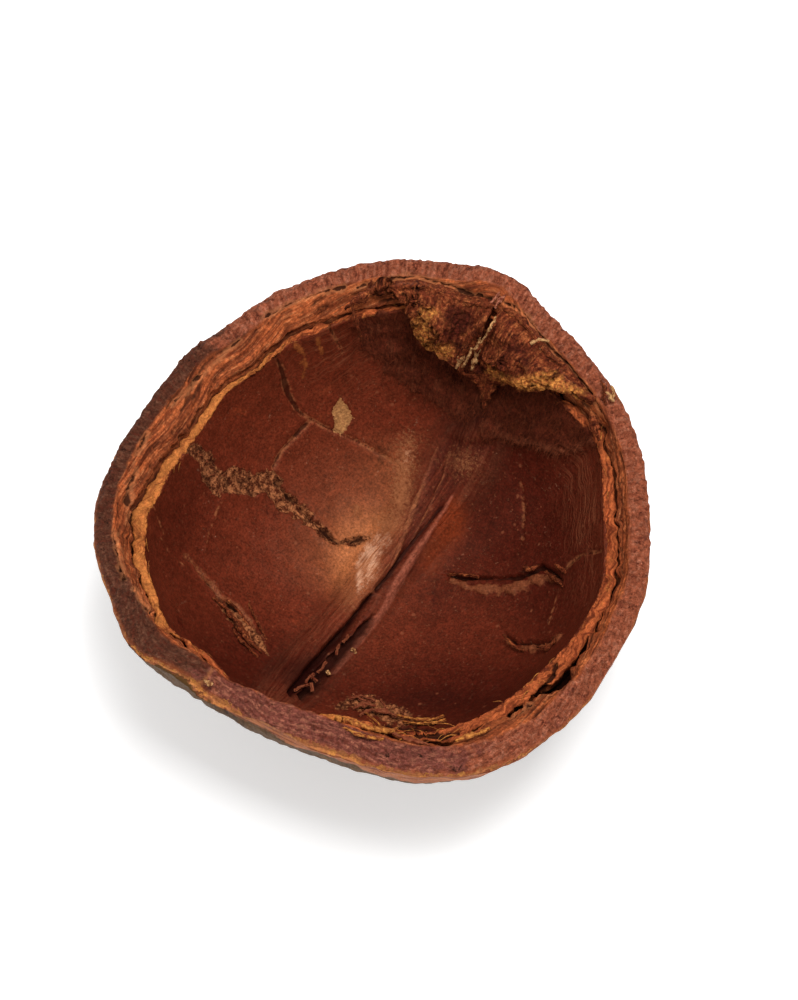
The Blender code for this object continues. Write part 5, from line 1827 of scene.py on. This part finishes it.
def lay_floor():
    mesh = bpy.data.meshes.new("floor")
    half = FLOOR_HALF
    mesh.from_pydata([(-half, -half, 0), (half, -half, 0), (half, half, 0), (-half, half, 0)], [],
                     [(0, 1, 2, 3)])
    floor = bpy.data.objects.new("floor", mesh)
    material, tree, shader, spots = new_material("floor_paper")
    colour = mix(tree, cloud(tree, spots, 0.02), (0.86, 0.86, 0.86, 1), (0.9, 0.9, 0.9, 1))
    tree.links.new(colour, shader.inputs["Base Color"])
    shader.inputs["Roughness"].default_value = 0.9
    shader.inputs["Emission Color"].default_value = (1, 1, 1, 1)
    shader.inputs["Emission Strength"].default_value = FLOOR_GLOW
    mesh.materials.append(material)
    bpy.context.scene.collection.objects.link(floor)


def facing(right, up, back, place):
    """A matrix that stands something at a place with its axes right, up and back."""
    return Matrix((
        (right[0], up[0], back[0], place[0]), (right[1], up[1], back[1], place[1]),
        (right[2], up[2], back[2], place[2]), (0, 0, 0, 1)))


def hang_light(name, aim, way, size, power):
    """A square soft light that looks at the valve, its way given as right, up and towards the camera."""
    back = way[0] * VIEW_RIGHT + way[1] * VIEW_UP + way[2] * VIEW_BACK
    back = back / np.linalg.norm(back)
    right = np.cross((0, 0, 1), back)
    right = right / np.linalg.norm(right)
    lamp = bpy.data.lights.new(name, "AREA")
    lamp.size = size
    lamp.energy = power
    light = bpy.data.objects.new(name, lamp)
    light.matrix_world = facing(right, np.cross(back, right), back, aim + back * LIGHT_DISTANCE)
    bpy.context.scene.collection.objects.link(light)


def set_camera(scene, aim):
    lens = bpy.data.cameras.new("photograph_view")
    lens.sensor_fit = "VERTICAL"
    lens.sensor_height = 36.0
    lens.lens = 36.0 * VIEW_DISTANCE / (PICTURE[1] * PIXEL)
    lens.clip_start = 0.1
    lens.clip_end = 10.0
    camera = bpy.data.objects.new("photograph_view", lens)
    camera.matrix_world = facing(VIEW_RIGHT, VIEW_UP, VIEW_BACK, aim + VIEW_BACK * VIEW_DISTANCE * MM)
    scene.collection.objects.link(camera)
    scene.camera = camera


class POD_PT_pod(bpy.types.Panel):
    bl_label = "Seed Pod"
    bl_idname = "POD_PT_pod"
    bl_space_type = "VIEW_3D"
    bl_region_type = "UI"
    bl_category = "Seed Pod"

    def draw(self, context):
        for operator in OPERATORS:
            self.layout.operator(operator.bl_idname)
        for group in (context.scene.pod_sizes, context.scene.pod_tones):
            box = self.layout.box()
            for name in group.bl_rna.properties.keys():
                if name not in ("rna_type", "name"):
                    box.prop(group, name)


FINISHES = {}
GRIDS = {}
OPERATORS = (POD_OT_materials, POD_OT_husk, POD_OT_lining, POD_OT_stem_lobes, POD_OT_fibres, POD_OT_stage)


def register():
    for item in (PodTones, PodSizes, *OPERATORS, POD_PT_pod):
        bpy.utils.register_class(item)
    bpy.types.Scene.pod_tones = bpy.props.PointerProperty(type=PodTones)
    bpy.types.Scene.pod_sizes = bpy.props.PointerProperty(type=PodSizes)


def unregister():
    del bpy.types.Scene.pod_sizes
    del bpy.types.Scene.pod_tones
    for item in reversed((PodTones, PodSizes, *OPERATORS, POD_PT_pod)):
        bpy.utils.unregister_class(item)


def main():
    register()
    for step in ("materials", "husk", "lining", "stem_lobes", "fibres", "stage"):
        getattr(bpy.ops.pod, step)()


if __name__ == "__main__":
    main()
